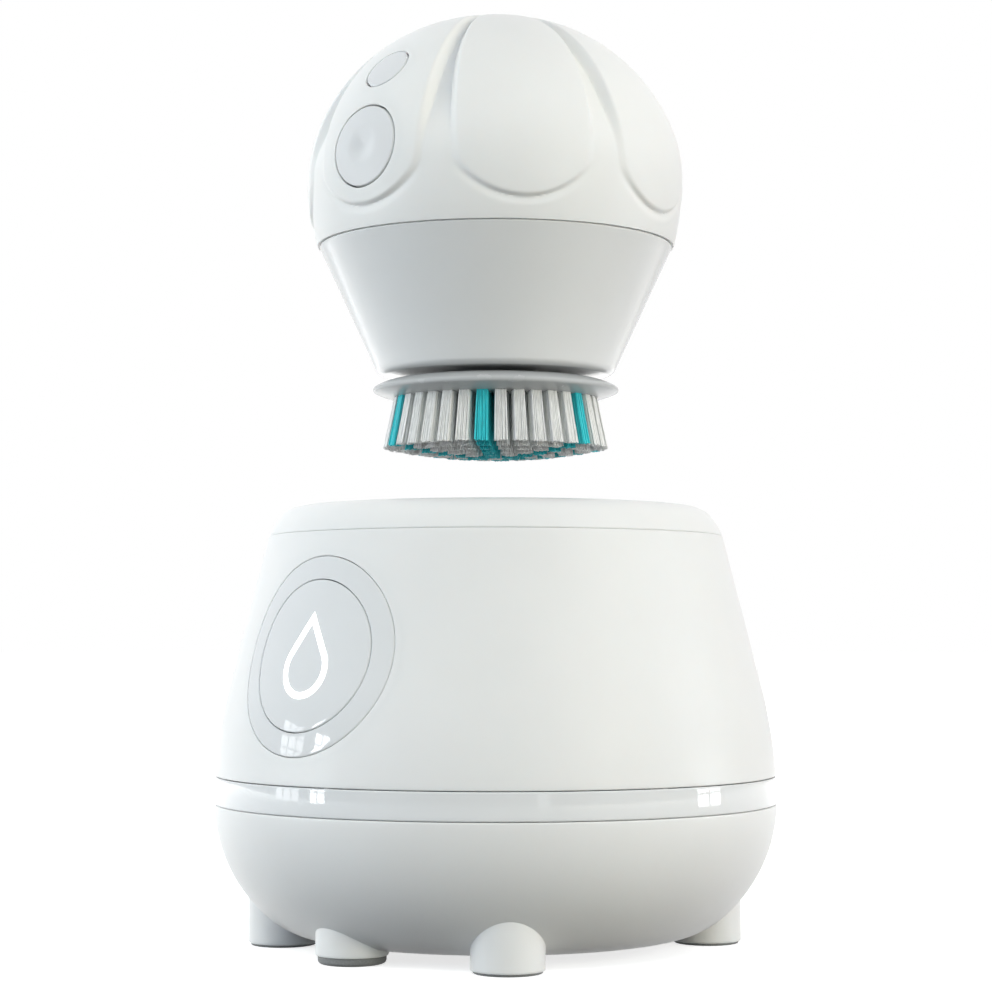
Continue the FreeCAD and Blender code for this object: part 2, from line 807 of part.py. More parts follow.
def make_feet():
    side, corner, turn_radius, turn_height, floor_radius, floor = bowl_points(size(0))
    outside = turned("bowl_envelope", [
        (0, floor),
        (floor_radius, floor, corner),
        (turn_radius, turn_height, side),
        (S.belly_radius, S.belly_height),
        (0, S.belly_height),
    ])
    for name in FEET:
        x, y = foot_place(name)
        thick = S.front_pad_thick if name == "front" else S.pad_thick
        post = cylinder(f"foot_post_{name}", S.foot_radius, 12, x=x, y=y, z=thick)
        node(cut(f"foot_{name}", post, [outside]))
        node(cylinder(f"foot_pad_{name}", S.foot_radius - S.pad_inset, thick, x=x, y=y, z=0))


# Petalled dome of the handle: the form that takes the most skill

def dome_arcs(inset):
    """Centres, radii and turns of the dome's three arcs, a given way inside the petals."""
    side_centre = (S.ball_radius.value - S.side_arc.value, ball_height.value)
    turn = math.radians(S.side_turn.value)
    step = S.side_arc.value - S.mid_arc.value
    mid_centre = (side_centre[0] + step * math.cos(turn), side_centre[1] + step * math.sin(turn))
    top_turn = math.radians(S.mid_turn.value)
    top_arc = S.mid_arc.value + mid_centre[0] / math.cos(top_turn)
    top_centre = (0.0, mid_centre[1] + (S.mid_arc.value - top_arc) * math.sin(top_turn))
    return [(side_centre, S.side_arc.value - inset, 0.0, S.side_turn.value),
            (mid_centre, S.mid_arc.value - inset, S.side_turn.value, S.mid_turn.value),
            (top_centre, top_arc - inset, S.mid_turn.value, 90.0)]


def on_dome(elevation, inset=0.0):
    """Radius and height on the dome where its normal has this elevation."""
    centre = (S.ball_radius.value - S.petal_belt_arc.value, ball_height.value)
    radius = S.petal_belt_arc.value - inset
    for arc_centre, arc_radius, first, last in dome_arcs(inset):
        if first <= elevation <= last:
            centre = arc_centre
            radius = arc_radius
    turn = math.radians(elevation)
    return centre[0] + radius * math.cos(turn), centre[1] + radius * math.sin(turn)


def dome_wire():
    """Profile edges of the dome from its apex to the equator, and the equator's point."""
    edges = []
    for centre, radius, first, last in reversed(dome_arcs(0.0)):
        points = []
        for elevation in (last, (first + last) / 2, first):
            turn = math.radians(elevation)
            points.append(Vector(centre[0] + radius * math.cos(turn), 0,
                                 centre[1] + radius * math.sin(turn)))
        if last == 90.0:
            points[0].x = 0
        edges.append(Part.Arc(*points).toShape())
    return edges, edges[-1].Vertexes[-1].Point


def revolved(edges):
    """A solid turned about Z from connected profile edges that start and end on the axis."""
    first = edges[0].Vertexes[0].Point
    last = edges[-1].Vertexes[-1].Point
    closing = Part.LineSegment(last, first).toShape()
    face = Part.Face(Part.Wire(edges + [closing]))
    return face.revolve(Vector(), Vector(0, 0, 1), 360)


def belt_point(height, equator_radius, arc):
    """Radius of a belt arc below the ball's widest height."""
    drop = ball_height.value - height
    return equator_radius - arc + math.sqrt(arc * arc - drop * drop)


def petal_solid():
    """The whole dome at the level of the petals."""
    edges, equator = dome_wire()
    seam = seam_height.value
    half_drop = ball_height.value - S.ball_height.value / 2
    foot = Vector(belt_point(seam, S.ball_radius.value, S.petal_belt_arc.value), 0, seam)
    middle = Vector(belt_point(half_drop, S.ball_radius.value, S.petal_belt_arc.value), 0,
                    half_drop)
    edges.append(Part.Arc(equator, middle, foot).toShape())
    edges.append(Part.LineSegment(foot, Vector(0, 0, seam)).toShape())
    return revolved(edges)


def belt_groove():
    """What lies outside the belt: a ring below the petals, open where a petal hangs down."""
    top = ball_height.value + S.petal_corner.value
    low = seam_height.value - 1
    belt_radius = S.ball_radius.value - S.belt_drop.value
    heights = (top, ball_height.value - S.ball_height.value / 2, low)
    drops = [Vector(belt_point(height, belt_radius, S.belt_arc.value), 0, height)
             for height in heights]
    outer = S.ball_radius.value + 6
    edges = [Part.Arc(*drops).toShape(),
             Part.LineSegment(drops[2], Vector(outer, 0, low)).toShape(),
             Part.LineSegment(Vector(outer, 0, low), Vector(outer, 0, top)).toShape(),
             Part.LineSegment(Vector(outer, 0, top), drops[0]).toShape()]
    ring_solid = Part.Face(Part.Wire(edges)).revolve(Vector(), Vector(0, 0, 1), 360)
    return ring_solid.cut([turn_about(petal_foot(), -90 + 360 / PETALS * number)
                           for number in range(PETALS)])


def petal_foot():
    """The hanging end of a petal that faces +X: a bevelled tongue with a round tip."""
    radius = S.ball_radius.value
    corner = ball_height.value - S.petal_corner.value
    sections = []
    for reach in (radius - 4, radius + 1.5):
        flare = (radius - reach) * S.bevel_run.value
        half = S.petal_half.value + flare
        tip = corner - S.petal_drop.value - flare * 0.6
        points = [Vector(reach, -half, corner), Vector(reach, 0, tip), Vector(reach, half, corner)]
        top = corner + 8
        edges = [Part.Arc(*points).toShape(),
                 Part.LineSegment(points[2], Vector(reach, half + 1, top)).toShape(),
                 Part.LineSegment(Vector(reach, half + 1, top),
                                  Vector(reach, -half - 1, top)).toShape(),
                 Part.LineSegment(Vector(reach, -half - 1, top), points[0]).toShape()]
        sections.append(Part.Wire(edges))
    return Part.makeLoft(sections, True, True)


def turn_about(shape, turn):
    copy = shape.copy()
    copy.rotate(Vector(), Vector(0, 0, 1), turn)
    return copy


# Elevation of the last cone of the dome's inside, and how far its flat crown lies under the arc
CROWN_TILT = 66
CROWN_FLAT = 0.5

# Elevation on the dome and depth of the channel there, as a share of its full depth
CHANNEL_COURSE = ((-3.5, 0.38), (3, 0.5), (11, 0.8), (20, 1.0), (34, 1.0), (48, 1.0),
                  (60, 0.95), (68, 0.62), (75, 0.2), (81, -0.3))


def channel():
    """The trough between two petals: a bevelled section lofted along the meridian."""
    sections = []
    full = S.channel_deep.value
    lift = 0.7
    for elevation, share in CHANNEL_COURSE:
        radius, height = on_dome(elevation)
        deep = full * share
        floor_half = max(S.channel_slope.value * (ball_height.value + S.channel_end.value
                                                  - height), 0.08)
        open_half = floor_half + S.bevel_run.value * (deep + lift) / full
        turn = math.radians(elevation)
        normal = Vector(math.cos(turn), 0, math.sin(turn))
        centre = Vector(radius, 0, height)
        low = centre - normal * deep
        high = centre + normal * lift
        corners = [low + Vector(0, -floor_half, 0), low + Vector(0, floor_half, 0),
                   high + Vector(0, open_half, 0), high + Vector(0, -open_half, 0)]
        sections.append(Part.makePolygon(corners + corners[:1]))
    return Part.makeLoft(sections, True, False)


def tangent_crossing(low_tilt, high_tilt, inset):
    """Where the tangents at two elevations of the dome's profile cross."""
    low_turn = math.radians(low_tilt)
    high_turn = math.radians(high_tilt)
    low_radius, low_height = on_dome(low_tilt, inset)
    high_radius, high_height = on_dome(high_tilt, inset)
    low_reach = low_radius * math.cos(low_turn) + low_height * math.sin(low_turn)
    high_reach = high_radius * math.cos(high_turn) + high_height * math.sin(high_turn)
    spread = math.sin(high_turn - low_turn)
    radius = (low_reach * math.sin(high_turn) - high_reach * math.sin(low_turn)) / spread
    height = (high_reach * math.cos(low_turn) - low_reach * math.cos(high_turn)) / spread
    return Vector(radius, 0, height)


def crown_inside(inset):
    """Corners of the dome's inside from its axis: a flat crown, and cones square to the buttons."""
    centre, arc = dome_arcs(inset)[2][:2]
    top = centre[1] + arc - CROWN_FLAT
    radius, height = on_dome(CROWN_TILT, inset)
    edge = radius - (top - height) * math.tan(math.radians(CROWN_TILT))
    return [Vector(0, 0, top), Vector(edge, 0, top),
            tangent_crossing(S.mode_tilt.value, CROWN_TILT, inset),
            tangent_crossing(S.power_tilt.value, S.mode_tilt.value, inset)]


def belt_inside(inset):
    """Foot of the dome's inner cones, a little below its widest height."""
    height = ball_height.value - 2
    radius, level = on_dome(S.power_tilt.value, inset)
    slope = math.tan(math.radians(S.power_tilt.value))
    return Vector(radius + (level - height) * slope, 0, height)


def turned_lines(points):
    """A solid turned about Z from corners that start and end on the axis."""
    edges = [Part.LineSegment(first, last).toShape() for first, last in zip(points, points[1:])]
    return revolved(edges)


def dome_cavity():
    """The hollow of the dome, with a straight foot for the cone's spigot."""
    inset = S.channel_deep.value + S.dome_wall.value
    foot_radius = S.spigot_radius.value + S.fit_gap.value
    seam = seam_height.value
    shoulder = Vector(foot_radius, 0, seam + S.spigot_tall.value + 0.4)
    return turned_lines(crown_inside(inset) + [belt_inside(inset), shoulder,
                                               Vector(foot_radius, 0, seam - 1),
                                               Vector(0, 0, seam - 1)])


def petal_core():
    """The inside of the dome, a little into its wall, down to the chassis."""
    inset = S.channel_deep.value + S.dome_wall.value / 2
    low = ledge.value
    foot = belt_inside(inset)
    return turned_lines(crown_inside(inset) + [foot, Vector(foot.x - 2, 0, low),
                                               Vector(0, 0, low)])


def along_normal(elevation, radius, deep, out):
    """A cylinder on the front petal's normal at this elevation."""
    reach, height = on_dome(elevation)
    turn = math.radians(elevation)
    normal = Vector(0, -math.cos(turn), math.sin(turn))
    base = Vector(0, -reach, height) - normal * deep
    return Part.makeCylinder(radius, deep + out, base, normal)


def make_handle_dome():
    petals = petal_solid()
    grooves = [turn_about(channel(), -90 + 360 / PETALS * (number + 0.5))
               for number in range(PETALS)]
    outside = petals.cut([belt_groove()] + grooves)
    shell = outside.cut(dome_cavity())
    low = (ledge + S.plate_thick).value
    core = petal_core()
    spot = Vector(S.boss_ring.value, 0, low)
    post = Part.makeCylinder(S.boss_radius.value, core.BoundBox.ZMax + 1 - low, spot)
    bosses = [turn_about(post.common(core), turn) for turn in SCREW_TURNS]
    shell = shell.fuse(bosses)
    pilots = [turn_about(Part.makeCylinder(S.screw_radius.value + S.running_gap.value, 9,
                                           Vector(S.boss_ring.value, 0, low - 1)), turn)
              for turn in SCREW_TURNS]
    gap = S.button_gap.value
    holes = [along_normal(S.power_tilt.value, S.power_radius.value + gap, 6, 4),
             along_normal(S.mode_tilt.value, S.mode_radius.value + gap, 6, 4)]
    return shaped("handle_dome", shell.cut(pilots + holes).removeSplitter())


# Cone housing of the handle

def make_handle_cone():
    lean = root(cone_slope * cone_slope + 1)
    round_start = S.cone_bottom - S.cone_round * (lean - cone_slope)
    round_radius = S.cone_round
    tangent = S.cone_round * (lean - cone_slope) / lean
    recess_top = cone_base + S.recess_deep
    bay_floor = recess_top + S.web_thick
    groove_outer = S.spigot_radius + S.seam_seal_wide
    inner_top = S.spigot_radius - 1.8
    blank = turned("cone_blank", [
        (S.hub_recess, cone_base),
        (round_start, cone_base, round_radius),
        (S.cone_bottom + tangent * cone_slope, cone_base + tangent),
        (S.cone_top, seam_height),
        (groove_outer, seam_height),
        (groove_outer, seam_height - S.seam_seal_deep),
        (S.spigot_radius, seam_height - S.seam_seal_deep),
        (S.spigot_radius, seam_height + S.spigot_tall),
        (inner_top, seam_height + S.spigot_tall),
        (cone_radius(ledge) - S.dome_wall, ledge),
        (S.lower_bay, ledge),
        (S.lower_bay, bay_floor),
        (S.hub_recess - 2, bay_floor),
        (S.hub_recess - 2, recess_top),
        (S.hub_recess, recess_top),
    ])
    tools = []
    for turn in SCREW_TURNS:
        x = S.boss_ring * cosine(turn)
        y = S.boss_ring * sine(turn)
        tools.append(cylinder(f"cone_screw_sink_{turn}", S.screw_head + S.fit_gap,
                              S.ledge_height - 2.5, x=x, y=y, z=cone_base - 0.5))
        tools.append(cylinder(f"cone_screw_hole_{turn}", S.screw_radius + S.fit_gap, 30,
                              x=x, y=y, z=cone_base - 0.5))
    return cut("handle_cone", blank, tools)


def make_handle_screws():
    screws = []
    head_low = ledge - 3 - 1.5
    for turn in SCREW_TURNS:
        x = S.boss_ring * cosine(turn)
        y = S.boss_ring * sine(turn)
        head = cylinder(f"handle_screw_head_{turn}", S.screw_head, 1.5, x=x, y=y, z=head_low)
        shank = cylinder(f"handle_screw_shank_{turn}", S.screw_radius, 12, x=x, y=y, z=head_low)
        screws.append(fused(f"handle_screw_{turn}", [head, shank]))
    return group("handle_screws", screws)


def make_seam_seal():
    return turned("seam_seal", ring(S.spigot_radius, S.spigot_radius + S.seam_seal_wide,
                                    seam_height - S.seam_seal_deep, seam_height))


# Machinery of the handle

battery_height = ball_height + S.ball_radius - S.battery_top
motor_low = ledge + S.plate_thick
motor_tall = battery_height - S.battery_radius - S.motor_clear - motor_low
cradle_top = battery_height + S.battery_radius + 0.4


def make_chassis():
    plate = turned("chassis_plate", ring(4.2, S.plate_radius, ledge, motor_low))
    holes = [cylinder(f"chassis_hole_{turn}", S.screw_radius + S.fit_gap, 8,
                      x=S.boss_ring * cosine(turn), y=S.boss_ring * sine(turn), z=ledge - 2)
             for turn in SCREW_TURNS]
    yokes = [block(f"battery_yoke_{number}", 2, 18, cradle_top - motor_low, x=12.5 * side,
                   y=S.battery_back, z=motor_low) for number, side in enumerate((-1, 1))]
    seat = battery_shape("battery_seat", S.battery_radius + 0.1, S.battery_long + 8)
    return cut("chassis", fused("chassis_blank", [plate] + yokes), holes + [seat])


def battery_shape(name, radius, long):
    item = doc.addObject("Part::Cylinder", name)
    item.Label = name
    item.Placement = Placement(Vector(), Rotation(Vector(0, 1, 0), 90))
    bind(item, "Radius", radius)
    bind(item, "Height", long)
    bind(item, "Placement.Base.x", -(size(long) / 2))
    bind(item, "Placement.Base.y", S.battery_back)
    bind(item, "Placement.Base.z", battery_height)
    return item


def make_motor():
    high = motor_low + motor_tall
    can = turned("motor_can", [
        (S.shaft_radius + 0.4, motor_low), (S.motor_radius, motor_low), (S.motor_radius, high),
        (4, high), (4, high - 0.8), (S.motor_radius - 0.8, high - 0.8),
        (S.motor_radius - 0.8, motor_low + 0.8), (S.shaft_radius + 0.4, motor_low + 0.8)])
    stator = turned("motor_stator", ring(5.6, S.motor_radius - 0.8, motor_low + 3, high - 3))
    bush = turned("upper_bearing", ring(S.shaft_radius + S.running_gap, 4, high - 2.4, high))
    return can, stator, bush


def make_spindle():
    """The swinging spindle: a thin motor shaft above, a stout drive end below."""
    low = cone_base - S.drive_reach
    shoulder = ledge + 0.5
    high = motor_low + motor_tall - 0.4
    body = turned("drive_spindle", [
        (0, low), (S.spindle_radius - 0.5, low), (S.spindle_radius, low + 0.5),
        (S.spindle_radius, shoulder), (S.shaft_radius, shoulder), (S.shaft_radius, high),
        (0, high)])
    flat = block("spindle_flat_tool", 8, 4, 8, y=S.spindle_radius * 0.75 + 2, z=low - 0.1)
    return cut("spindle", body, [flat])


def make_rotor_magnet():
    return turned("rotor_magnet", ring(S.shaft_radius, 5.2, motor_low + 3.5,
                                       motor_low + motor_tall - 3.5))


def make_lower_bearing():
    low = cone_base + S.recess_deep + S.web_thick
    return turned("lower_bearing", ring(S.spindle_radius + S.running_gap, 8, low, low + 3.6))


def make_spindle_seal():
    """A lip seal pressed into the web above the brush head's recess."""
    low = cone_base + S.recess_deep
    outer = S.hub_recess - 2
    high = low + S.web_thick
    return turned("spindle_seal", [
        (S.spindle_radius + 0.2, low), (S.spindle_radius + 0.9, low),
        (S.spindle_radius + 1.2, low + 0.8), (outer, low + 0.8), (outer, high),
        (S.spindle_radius + 0.4, high)])


def make_handle_coil():
    outer = cone_radius(ledge) - S.dome_wall - 0.2
    return turned("handle_coil", ring(S.plate_radius + 0.3, outer, ledge, ledge + S.coil_tall))


def make_main_board():
    return block("main_board", 29, 17, 1.2, y=S.battery_back, z=cradle_top)


# Buttons, switches and their bracket

def dome_point(tilt, arc_centre, arc):
    """Front point of the dome where its normal leans up by the tilt: radius and height."""
    return (arc_centre[0] + arc * cosine(tilt), arc_centre[1] + arc * sine(tilt))


side_arc_centre = (S.ball_radius - S.side_arc, ball_height)
mid_arc_centre = (side_arc_centre[0] + (S.side_arc - S.mid_arc) * cosine(S.side_turn),
                  side_arc_centre[1] + (S.side_arc - S.mid_arc) * sine(S.side_turn))
power_point = dome_point(S.power_tilt, side_arc_centre, S.side_arc)
mode_point = dome_point(S.mode_tilt, mid_arc_centre, S.mid_arc)


def on_normal(point, tilt, depth):
    """A place under the dome's surface along a button's own axis."""
    return {"y": depth * cosine(tilt) - point[0], "z": point[1] - depth * sine(tilt),
            "tilt": tilt}


def button_flange_depth(point, tilt, radius):
    """Depth of a button's retaining flange, clear of the cone that it lies behind."""
    inset = S.channel_deep + S.dome_wall
    inner = point[0] / cosine(tilt) - inset
    reach = radius + S.flange_extra
    return inset + inner - root(inner * inner - reach * reach) + S.button_gap


def make_button(name, point, tilt, radius, dimple):
    """A cap whose crown follows the petal, with a retaining flange and a plunger."""
    crown = S.ball_radius
    sag = crown - root(crown * crown - radius * radius)
    flange_top = -button_flange_depth(point, tilt, radius)
    flange_low = flange_top - S.flange_thick_cap
    tip = S.press + S.switch_gap + S.switch_tall - S.switch_deep
    corners = [(0, tip), (1.4, tip), (1.4, flange_low), (radius + S.flange_extra, flange_low),
               (radius + S.flange_extra, flange_top), (radius, flange_top)]
    if dimple:
        edge_sag = crown - root(crown * crown - S.dimple_radius * S.dimple_radius)
        deep = S.dimple_deep
        bowl = (S.dimple_radius * S.dimple_radius + deep * deep) / (deep * 2)
        corners += [(radius, -sag, crown), (S.dimple_radius, -edge_sag, -bowl),
                    (0, -edge_sag - deep)]
    else:
        corners += [(radius, -sag, crown), (0, 0)]
    return turned(name, corners, **on_normal(point, tilt, size(0)))


def make_switch(name, point, tilt):
    body = new_body(name)
    padded(body, name + "_case", "XY_Plane", rectangle(6, 6), 2.8)
    padded(body, name + "_plunger", "XY_Plane", rectangle(2.6, 2.6), S.switch_tall)
    return place(body, **on_normal(point, tilt, S.switch_deep))


def make_bracket():
    """A bent upright on the chassis that carries both switches square to their buttons."""
    wall = S.bracket_wall
    power_face = on_normal(power_point, S.power_tilt, S.switch_deep)
    mode_face = on_normal(mode_point, S.mode_tilt, S.switch_deep)
    power_slope = sine(S.power_tilt) / cosine(S.power_tilt)
    mode_slope = sine(S.mode_tilt) / cosine(S.mode_tilt)
    bend_height = (mode_face["y"] - power_face["y"] + power_slope * power_face["z"]
                   - mode_slope * mode_face["z"]) / (power_slope - mode_slope)
    bend_depth = power_face["y"] + power_slope * (bend_height - power_face["z"])
    low = power_face["z"] - 4.5
    low_depth = power_face["y"] + power_slope * (low - power_face["z"])
    high = mode_face["z"] + 3.2
    high_depth = mode_face["y"] + mode_slope * (high - mode_face["z"])
    foot = -S.plate_radius + 0.8
    body = new_body("button_bracket")
    return padded(body, "bracket_pad", "YZ_Plane", [
        (foot, motor_low), (foot + wall * 1.2, motor_low), (low_depth + wall * 1.1, low),
        (bend_depth + wall * 1.1, bend_height - 0.6), (high_depth + wall, high - wall),
        (high_depth, high), (bend_depth, bend_height), (low_depth, low)],
        S.bracket_wide, midplane=True)


# Brush head

head_top = cone_base - S.head_gap
head_low = head_top - S.head_thick


def make_brush_plate():
    """A lens-shaped plate with a hub that plugs into the recess of the cone."""
    middle = head_low + S.head_thick * 0.47
    rim_low = S.plate_edge - 1.5
    rim_high = S.plate_edge - 1.15
    socket = S.hub_radius - 1.6
    hub_top = cone_base + S.recess_deep - 0.5
    half_top = head_top - middle
    upper = ((S.plate_edge - rim_high) * (S.plate_edge - rim_high)
             + (half_top - 0.4) * (half_top - 0.4)) / ((S.plate_edge - rim_high) * 2)
    half_low = middle - head_low
    lower = ((S.plate_edge - rim_low) * (S.plate_edge - rim_low)
             + (half_low - 0.4) * (half_low - 0.4)) / ((S.plate_edge - rim_low) * 2)
    return turned("brush_plate", [
        (0, head_low),
        (S.plate_edge - 3, head_low),
        (rim_low, head_low + 0.4, lower),
        (S.plate_edge, middle, upper),
        (rim_high, head_top - 0.4),
        (S.plate_edge - 3, head_top),
        (S.hub_radius, head_top),
        (S.hub_radius, hub_top),
        (socket, hub_top),
        (socket, head_low + 1),
        (0, head_low + 1),
    ])


def make_drive_socket():
    """A metal sleeve in the hub, with a flat that takes the spindle's flat."""
    low = head_low + 1
    high = cone_base + S.recess_deep - 0.5
    clear = S.running_gap
    sleeve = turned("socket_sleeve", ring(S.spindle_radius + clear, S.hub_radius - 1.6, low,
                                          high))
    floor = cylinder("socket_floor", S.spindle_radius + clear, cone_base - S.drive_reach - low
                     - 0.3, z=low)
    flat = block("socket_flat", 5, 1, 5, y=S.spindle_radius * 0.75 + clear + 0.5,
                 z=low)
    inside = cylinder("socket_flat_limit", S.spindle_radius + clear + 0.2, 5, z=low)
    return fused("drive_socket", [sleeve, floor, common("socket_key", [flat, inside])])


def tuft_places():
    """Each tuft as its ring, its step round the ring and whether it is a coloured one."""
    places = [(0, 0, False)]
    for ring_number in range(1, TUFT_RINGS + 1):
        for step in range(6 * ring_number):
            places.append((ring_number, step, step % ring_number == 0))
    return places


def tuft(ring_number, step):
    """One tuft: a square bundle that leans out and spreads from its root to its tip."""
    turn = 0.0
    if ring_number:
        turn = 60 * step / ring_number + S.tuft_turn.value - 90
    root_radius = S.root_pitch.value * ring_number
    tip_radius = S.tip_pitch.value * ring_number
    share = ring_number / TUFT_RINGS
    tip_height = head_low.value - S.tuft_long.value - S.crown_rise.value * (1 - share * share)
    half_tip = S.tuft_tip.value / 2
    half_root = S.tuft_root.value / 2
    solid = Part.makeWedge(tip_radius - half_tip, 0, -half_tip, -half_root,
                           root_radius - half_root, tip_radius + half_tip,
                           head_low.value - tip_height, half_tip, half_root,
                           root_radius + half_root)
    solid.rotate(Vector(), Vector(1, 0, 0), 90)
    solid.translate(Vector(0, 0, tip_height))
    solid.rotate(Vector(), Vector(0, 0, 1), turn)
    return solid


def make_tufts():
    plain = [tuft(number, step) for number, step, coloured in tuft_places() if not coloured]
    coloured = [tuft(number, step) for number, step, coloured in tuft_places() if coloured]
    return (shaped("bristles_white", Part.makeCompound(plain)),
            shaped("bristles_teal", Part.makeCompound(coloured)))


# The whole brush and dock

def build_dock():
    layer = panel_layer()
    node(make_dock_rim())
    node(make_dock_shell(layer))
    node(make_trim_band())
    node(make_dock_bowl())
    node(make_base_screws())
    node(make_lens_ring(layer))
    for item in make_lens_and_symbol(layer):
        node(item)
    node(make_light_box())
    node(make_light_board())
    node(make_panel_lights())
    node(make_well_liner())
    for item in make_lamps():
        node(item)
    node(make_floor_grille())
    node(make_dock_coil())
    node(make_fan_housing())
    node(make_fan_rotor())
    node(make_ballast())
    node(make_dock_board())
    for item in make_power_inlet():
        node(item)
    make_feet()


def build_handle():
    node(make_handle_dome())
    node(make_handle_cone())
    node(make_handle_screws())
    node(make_seam_seal())
    node(make_chassis())
    node(battery_shape("battery", S.battery_radius, S.battery_long))
    for item in make_motor():
        node(item)
    node(make_handle_coil())
    node(make_main_board())
    node(make_lower_bearing())
    node(make_spindle_seal())
    node(make_bracket())
    node(make_switch("power_switch", power_point, S.power_tilt))
    node(make_switch("mode_switch", mode_point, S.mode_tilt))
    node(make_button("power_button", power_point, S.power_tilt, S.power_radius, True))
    node(make_button("mode_button", mode_point, S.mode_tilt, S.mode_radius, False))


def build_brush_head():
    node(make_spindle())
    node(make_rotor_magnet())
    node(make_brush_plate())
    node(make_drive_socket())
    for item in make_tufts():
        node(item)


def check_model():
    """Stop if any object failed or any sub-part has no sound shape."""
    for item in doc.Objects:
        if "Invalid" in item.State or "Error" in item.State:
            raise RuntimeError(f"{item.Label} failed: {item.State}")
    for item in NODES:
        if item.Shape.isNull() or not item.Shape.isValid() or not item.Shape.Solids:
            raise RuntimeError(f"{item.Label} has no sound shape")


build_dock()
build_handle()
build_brush_head()
doc.recompute()
check_model()
os.makedirs("parts", exist_ok=True)
for item in NODES:
    item.Shape.exportStep(f"parts/{item.Label}.step")
    box = item.Shape.BoundBox
    print(f"{item.Label:20s} solids {len(item.Shape.Solids):3d} volume {item.Shape.Volume:10.1f}"
          f"  x {box.XMin:6.1f} {box.XMax:6.1f}  y {box.YMin:6.1f} {box.YMax:6.1f}"
          f"  z {box.ZMin:6.1f} {box.ZMax:6.1f}")
print(len(NODES), "sub-parts")
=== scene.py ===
import json
import math
import random

import bmesh
import bpy
from mathutils import Matrix, Vector


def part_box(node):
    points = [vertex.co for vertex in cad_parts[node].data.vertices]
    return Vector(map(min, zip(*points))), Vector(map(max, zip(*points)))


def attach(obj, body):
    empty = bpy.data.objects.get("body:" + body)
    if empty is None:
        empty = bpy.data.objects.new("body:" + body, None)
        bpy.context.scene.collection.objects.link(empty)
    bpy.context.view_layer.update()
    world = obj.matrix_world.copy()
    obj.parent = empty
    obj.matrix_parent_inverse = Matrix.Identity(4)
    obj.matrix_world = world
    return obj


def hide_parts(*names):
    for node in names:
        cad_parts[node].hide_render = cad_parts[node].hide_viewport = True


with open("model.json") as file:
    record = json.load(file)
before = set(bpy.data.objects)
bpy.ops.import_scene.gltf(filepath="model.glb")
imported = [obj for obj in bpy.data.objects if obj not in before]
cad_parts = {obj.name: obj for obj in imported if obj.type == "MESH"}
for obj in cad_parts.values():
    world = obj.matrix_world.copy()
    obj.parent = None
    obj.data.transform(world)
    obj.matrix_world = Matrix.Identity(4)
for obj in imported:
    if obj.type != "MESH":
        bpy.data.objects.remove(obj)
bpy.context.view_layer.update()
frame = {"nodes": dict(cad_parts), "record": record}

# Looks of the cleansing brush and its dock. Sizes are in millimetres unless a name says
# otherwise, heights are above the ground, and the frame is the one of the construction.

MM = 0.001
UP = Vector((0, 0, 1))

# Dock
BELLY_RADIUS = 50.95
BELLY_HEIGHT = 26.2
WALL_ARC = 81.0
WALL_LEAN = math.radians(14.2)
BOWL_SIDE = 27.0
BOWL_CORNER = 14.3
BOWL_TURN = math.radians(51.0)
BAND_LOW = 25.7
BAND_HIGH = 30.67
SHELL_TOP = 74.0
RIM_TOP = 80.15
RIM_CREST = RIM_TOP - 0.9      # the moulded crest sits a little below the mouth's plane
RIM_SIDE = 12.0
RIM_CORNER = 5.2
RIM_TURN = math.radians(40.0)
MOUTH_ROUND = 2.0
SHELL_WALL = 2.2
PANEL_HEIGHT = 52.6
PANEL_RADIUS = 17.5
LENS_RADIUS = 13.3
PANEL_DEEP = 1.6
PANEL_GAP = 0.1
DROP_RADIUS = 5.3
DROP_TALL = 15.2
DROP_STROKE = 1.15
FOOT_RADIUS = 6.3
PAD_RADIUS = 5.9
FOOT_RING = 38.5
FRONT_FOOT_RING = 36.0
FOOT_TURNS = {"front": 0, "front_left": -46, "front_right": 46, "rear_left": -136,
              "rear_right": 136}

SLOTS = 8
SLOT_INNER = 6
SLOT_OUTER = 16.5
SLOT_HALF = 1

# Handle and brush head
HOVER = 47.0
DOCKED_GAP = 0.1
SEAM = RIM_TOP + DOCKED_GAP + HOVER
CONE_TALL = 23.65
CONE_TOP = 32.5
CONE_BOTTOM = 21.53
CONE_ROUND = 2.0
CONE_WALL = 2.4
CONE_BASE = SEAM - CONE_TALL
SEAT_GAP = 0.35
BALL_HEIGHT = SEAM + 11.45
BALL_RADIUS = 34.7
SIDE_ARC = 25.7
SIDE_TURN = math.radians(19.07)
MID_ARC = 33.45
MID_TURN = math.radians(71.0)
PETAL_BELT_ARC = 38.0
BELT_ARC = 43.9
BELT_DROP = 0.4
DOME_WALL = 3.4
PETALS = 7
POWER_TILT = math.radians(6.5)
POWER_RADIUS = 7.2
DIMPLE_RADIUS = 3.8
DIMPLE_DEEP = 0.95
MODE_TILT = math.radians(37.0)
MODE_RADIUS = 4.25
BUTTON_GAP = 0.3
COLLAR_WIDE = 1.1
COLLAR_ROUND = 0.18
PLATE_EDGE = 22.56
HEAD_GAP = 0.7
HEAD_TOP = CONE_BASE - HEAD_GAP
HEAD_THICK = 3.8
HEAD_LOW = HEAD_TOP - HEAD_THICK
TUFT_RINGS = 6

# Roundness of the moulded edges along the seams, and what each side keeps off its seam
SEAM_ROUND = 0.22
SHELL_CLEAR = 0.06
DOME_CLEAR = 0.08


# Lines of (radius, height) points

def arc_line(centre, radius, first, last, step=1.2):
    """Points along an arc, about one step apart."""
    count = max(3, math.ceil(abs(last - first) * radius / step))
    turns = [first + (last - first) * number / count for number in range(count + 1)]
    return [Vector((centre[0] + radius * math.cos(turn), centre[1] + radius * math.sin(turn)))
            for turn in turns]


